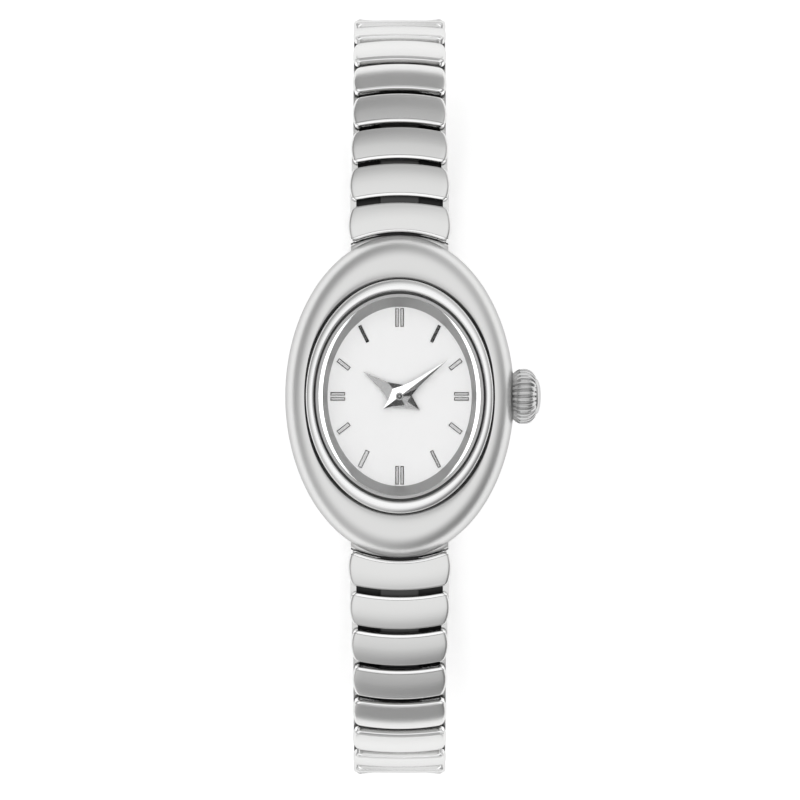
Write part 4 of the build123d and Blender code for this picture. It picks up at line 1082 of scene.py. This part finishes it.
# Each finish as colour, metallic, roughness and what differs in its surface
# A colour in words is one that the user may change
FINISHES = {
    "satin_steel": ("satin", 1.0, 0.36, {"grain": 16000.0, "bump": 0.25, "depth": 0.004, "edge": 0.55}),
    "polished_steel": ("polished", 1.0, 0.09, {**BRIGHT, "patch": 700.0, "bump": 0.03}),
    "edge_steel": (grey(0.92), 1.0, 0.14, {**BRIGHT, "bump": 0.03}),
    "link_steel": ("links", 1.0, 0.24, {**FINE, "spread": 0.06, "stretch": (0.15, 1.0, 1.0),
                                        "bump": 0.08, "edge": 0.8}),
    # Near-black steel: painted shade on the hardware in the gaps, the seams, the pockets and the lug ends
    "shadowed_steel": (grey(0.045), 1.0, 0.45, {**WORN, "edge": 0.3}),
    # Near-black strap steel: painted shade on the strap deep in each gap
    "shadowed_strap_steel": (grey(0.075), 1.0, 0.40, {**WORN, "edge": 0.4}),
    "back_steel": (grey(0.70), 1.0, 0.30, {"spread": 0.08, "stretch": (1.0, 0.06, 1.0), "bump": 0.2,
                                           "depth": 0.004}),
    "crown_steel": (grey(0.60), 1.0, 0.13, {**FINE, "spread": 0.06, "edge": 0.7}),
    "flange_steel": (grey(0.47), 0.55, 0.50, {"bump": 0.1}),
    "marker_steel": (grey(0.36), 1.0, 0.30, FINE),
    "hand_steel": (grey(0.86), 1.0, 0.10, BRIGHT),
    # Mid-grey steel: painted half shade on baton sides, hand facets and the arbor cap
    "grey_steel": (grey(0.27), 1.0, 0.16, BRIGHT),
    "shaded_steel": (grey(0.055), 1.0, 0.18, {**BRIGHT, "edge": 0.5}),
    # Cement round the crystal: a real seal whose dark grey is also painted shade for the groove
    "cement_and_groove_shade": (grey(0.42), 0.0, 0.45, WORN),
    "white_lacquer": ("dial", 0.0, 0.35, {"grain": 6000.0, "patch": 120.0, "shade": 0.03, "bump": 0.03,
                                          "sockets": {"Coat Weight": 0.6, "Coat Roughness": 0.08}}),
    "crystal_glass": (grey(1.0), 0.0, 0.0, {"spread": 0.01, "patch": 200.0, "shade": 0.0, "bump": 0.0,
                                            "sockets": {"Transmission Weight": 1.0, "IOR": 1.08}}),
    "black_rubber": (grey(0.03), 0.0, 0.55, {}),
    "grey_plastic": ((0.75, 0.75, 0.73), 0.0, 0.45, {}),
    "movement_brass": ((0.80, 0.62, 0.30), 1.0, 0.25, {}),
    "movement_nickel": ((0.74, 0.73, 0.70), 1.0, 0.22, {}),
    "green_board": ((0.05, 0.25, 0.12), 0.0, 0.35, {}),
    "copper_wire": ((0.72, 0.35, 0.18), 1.0, 0.30, {}),
    "magnet_grey": ((0.25, 0.25, 0.27), 1.0, 0.40, {}),
}


def finish(name):
    """One of the finishes as a material, made once."""
    title = name.replace("_", " ").capitalize()
    known = bpy.data.materials.get(title)
    if known:
        return known
    colour, metallic, roughness, surface = FINISHES[name]
    if isinstance(colour, str):
        colour = getattr(bpy.context.scene.watch_finish, colour)
    return grained(title, colour, metallic, roughness, **surface)


# What is carried over from the links lies in their shade, so it takes the near-black steel of painted shade
CARRIED_FINISHES = {"link_steel": "shadowed_steel"}


class WATCH_OT_finishes(Operator):
    """Give every node that is carried over its own finish"""
    bl_idname = "watch.finishes"
    bl_label = "Carried pieces"

    def execute(self, context):
        slots = {part["node"]: part["material_slot"] for part in frame["record"]["subparts"]}
        for name, node in frame["nodes"].items():
            node.data.materials.clear()
            node.data.materials.append(finish(CARRIED_FINISHES.get(slots[name], slots[name])))
        return {"FINISHED"}


# Stage

CAMERA_DISTANCE = 0.43
CAMERA_NEAR = 0.01
PIXELS_PER_METRE = 10850.0
IMAGE_PIXELS = 800
AXIS_PIXEL = (399.6, 396.4)
SENSOR = 36.0
LAMP_PLACE = Vector((-0.08, 0.06, 0.7))
LAMP_SIZE = 1.1
LAMP_LEVEL = 0.55
FLOOR_REACH = 2.0
FLOOR_GLOW = 0.34
HEIGHT_LEVELS = ((0.0, 0.62), (0.10, 0.57), (0.28, 0.54), (0.50, 0.57), (0.70, 0.72), (0.86, 0.95),
                 (1.0, 1.02))
BAND_LEVELS = ((0.0, 0.40), (0.08, 0.48), (0.16, 0.66), (0.25, 0.94), (0.40, 1.06), (0.55, 1.06),
               (0.75, 0.92), (0.88, 0.70), (1.0, 0.66))
BAND_ACROSS = (-0.72, 0.69, 0.0)


def add_overhead_lamp():
    """A soft square lamp that lights matt surfaces at a share of full white and stays out of the metal."""
    lamp = bpy.data.lights.new("overhead", "AREA")
    lamp.shape = "SQUARE"
    lamp.size = LAMP_SIZE
    lamp.energy = LAMP_LEVEL * math.pi ** 2 * LAMP_PLACE.length ** 2
    holder = put_in_scene("overhead", lamp)
    holder.location = LAMP_PLACE
    holder.rotation_euler = (-LAMP_PLACE).to_track_quat("-Z", "Y").to_euler()
    holder.visible_glossy = False


def level_ramp(tree, levels):
    """A colour ramp through grey levels."""
    ramp = add_node(tree, "ValToRGB")
    ramp.color_ramp.interpolation = "EASE"
    stops = ramp.color_ramp.elements
    for stop, (position, level) in zip((stops[0], stops[1]), (levels[0], levels[-1])):
        stop.position, stop.color = position, (*grey(level), 1)
    for position, level in levels[1:-1]:
        stops.new(position).color = (*grey(level), 1)
    return ramp


def studio_world():
    """Soft studio: a bright band overhead that runs across the watch, greyer beside it and lower down."""
    world = bpy.data.worlds.new("Studio")
    bpy.context.scene.world = world
    tree = empty_tree(world)
    output = add_node(tree, "OutputWorld")
    place = add_node(tree, "TexCoord")
    split = add_node(tree, "SeparateXYZ")
    height = level_ramp(tree, HEIGHT_LEVELS)
    band = level_ramp(tree, BAND_LEVELS)
    lean = add_node(tree, "VectorMath", "DOT_PRODUCT", {1: BAND_ACROSS})
    half = add_node(tree, "Math", "MULTIPLY_ADD", {1: 0.5, 2: 0.5})
    sky = add_node(tree, "Background")
    white = add_node(tree, "Background", constants={"Color": (1, 1, 1, 1)})
    path = add_node(tree, "LightPath")
    mix = add_node(tree, "MixShader")
    join(tree, (place, "Generated", split, "Vector"), (place, "Generated", lean, 0),
         (lean, "Value", half, 0), (half, "Value", band, "Fac"), (split, "Z", height, "Fac"),
         (height, "Color", sky, "Color"), (band, "Color", sky, "Strength"),
         (path, "Is Camera Ray", mix, "Fac"), (sky, "Background", mix, 1), (white, "Background", mix, 2),
         (mix, "Shader", output, "Surface"))


def floor_material():
    """Pale floor that reads as white to the camera, to metal and to glass, and keeps the shadow."""
    material = bpy.data.materials.new("Pale floor")
    tree = empty_tree(material)
    output = add_node(tree, "OutputMaterial")
    matt = add_node(tree, "BsdfDiffuse", constants={"Color": (*bpy.context.scene.watch_finish.floor, 1.0)})
    glow = add_node(tree, "Emission")
    path = add_node(tree, "LightPath")
    first = add_node(tree, "Math", "MAXIMUM")
    second = add_node(tree, "Math", "MAXIMUM")
    level = add_node(tree, "Math", "MULTIPLY", {1: FLOOR_GLOW})
    both = add_node(tree, "AddShader")
    join(tree, (path, "Is Camera Ray", first, 0), (path, "Is Glossy Ray", first, 1),
         (first, "Value", second, 0), (path, "Is Transmission Ray", second, 1), (second, "Value", level, 0),
         (level, "Value", glow, "Strength"), (matt, "BSDF", both, 0), (glow, "Emission", both, 1),
         (both, "Shader", output, "Surface"))
    return material


class WATCH_OT_stage(Operator):
    """Set the floor, the soft lamp and the camera of the photograph"""
    bl_idname = "watch.stage"
    bl_label = "Stage"

    def execute(self, context):
        scene = context.scene
        scene.view_settings.view_transform = "Standard"
        studio_world()
        mesh = bpy.data.meshes.new("floor")
        corners = [(x * FLOOR_REACH, y * FLOOR_REACH, FLOOR_Z)
                   for x, y in ((-1, -1), (1, -1), (1, 1), (-1, 1))]
        mesh.from_pydata(corners, [], [(0, 1, 2, 3)])
        mesh.materials.append(floor_material())
        floor = put_in_scene("floor", mesh)
        add_overhead_lamp()
        eye = bpy.data.cameras.new("camera")
        eye.sensor_width = SENSOR
        eye.lens = SENSOR * CAMERA_DISTANCE * PIXELS_PER_METRE / IMAGE_PIXELS
        eye.clip_start = CAMERA_NEAR
        middle = IMAGE_PIXELS / 2
        camera = put_in_scene("camera", eye)
        camera.location = ((middle - AXIS_PIXEL[0]) / PIXELS_PER_METRE,
                           (AXIS_PIXEL[1] - middle) / PIXELS_PER_METRE,
                           scene.watch_case.mid_height + CAMERA_DISTANCE)
        scene.camera = camera
        return {"FINISHED"}


class WATCH_PT_pieces(Panel):
    """Lists the steps that build the watch"""
    bl_label = "Oval watch"
    bl_idname = "WATCH_PT_pieces"
    bl_space_type = "VIEW_3D"
    bl_region_type = "UI"
    bl_category = "Watch"

    def draw(self, context):
        for step in STEPS:
            self.layout.operator(step.bl_idname)


STEPS = (WATCH_OT_finishes, WATCH_OT_case, WATCH_OT_bezel, WATCH_OT_markers, WATCH_OT_hands,
         WATCH_OT_crown, WATCH_OT_bracelet, WATCH_OT_stage)
GROUPS = {"watch_case": WatchCaseSizes, "watch_bezel": WatchBezelSizes, "watch_marks": WatchMarkerSizes,
          "watch_hands": WatchHandSizes, "watch_crown": WatchCrownSizes, "watch_link": WatchLinkSizes,
          "watch_finish": WatchFinish}
CLASSES = (*GROUPS.values(), *STEPS, WATCH_PT_pieces)


def register():
    for known in CLASSES:
        bpy.utils.register_class(known)
    for name, group in GROUPS.items():
        setattr(bpy.types.Scene, name, PointerProperty(type=group))


def unregister():
    for name in GROUPS:
        delattr(bpy.types.Scene, name)
    for known in reversed(CLASSES):
        bpy.utils.unregister_class(known)


def main():
    register()
    for step in STEPS:
        group, name = step.bl_idname.split(".")
        getattr(getattr(bpy.ops, group), name)()


if __name__ == "__main__":
    main()
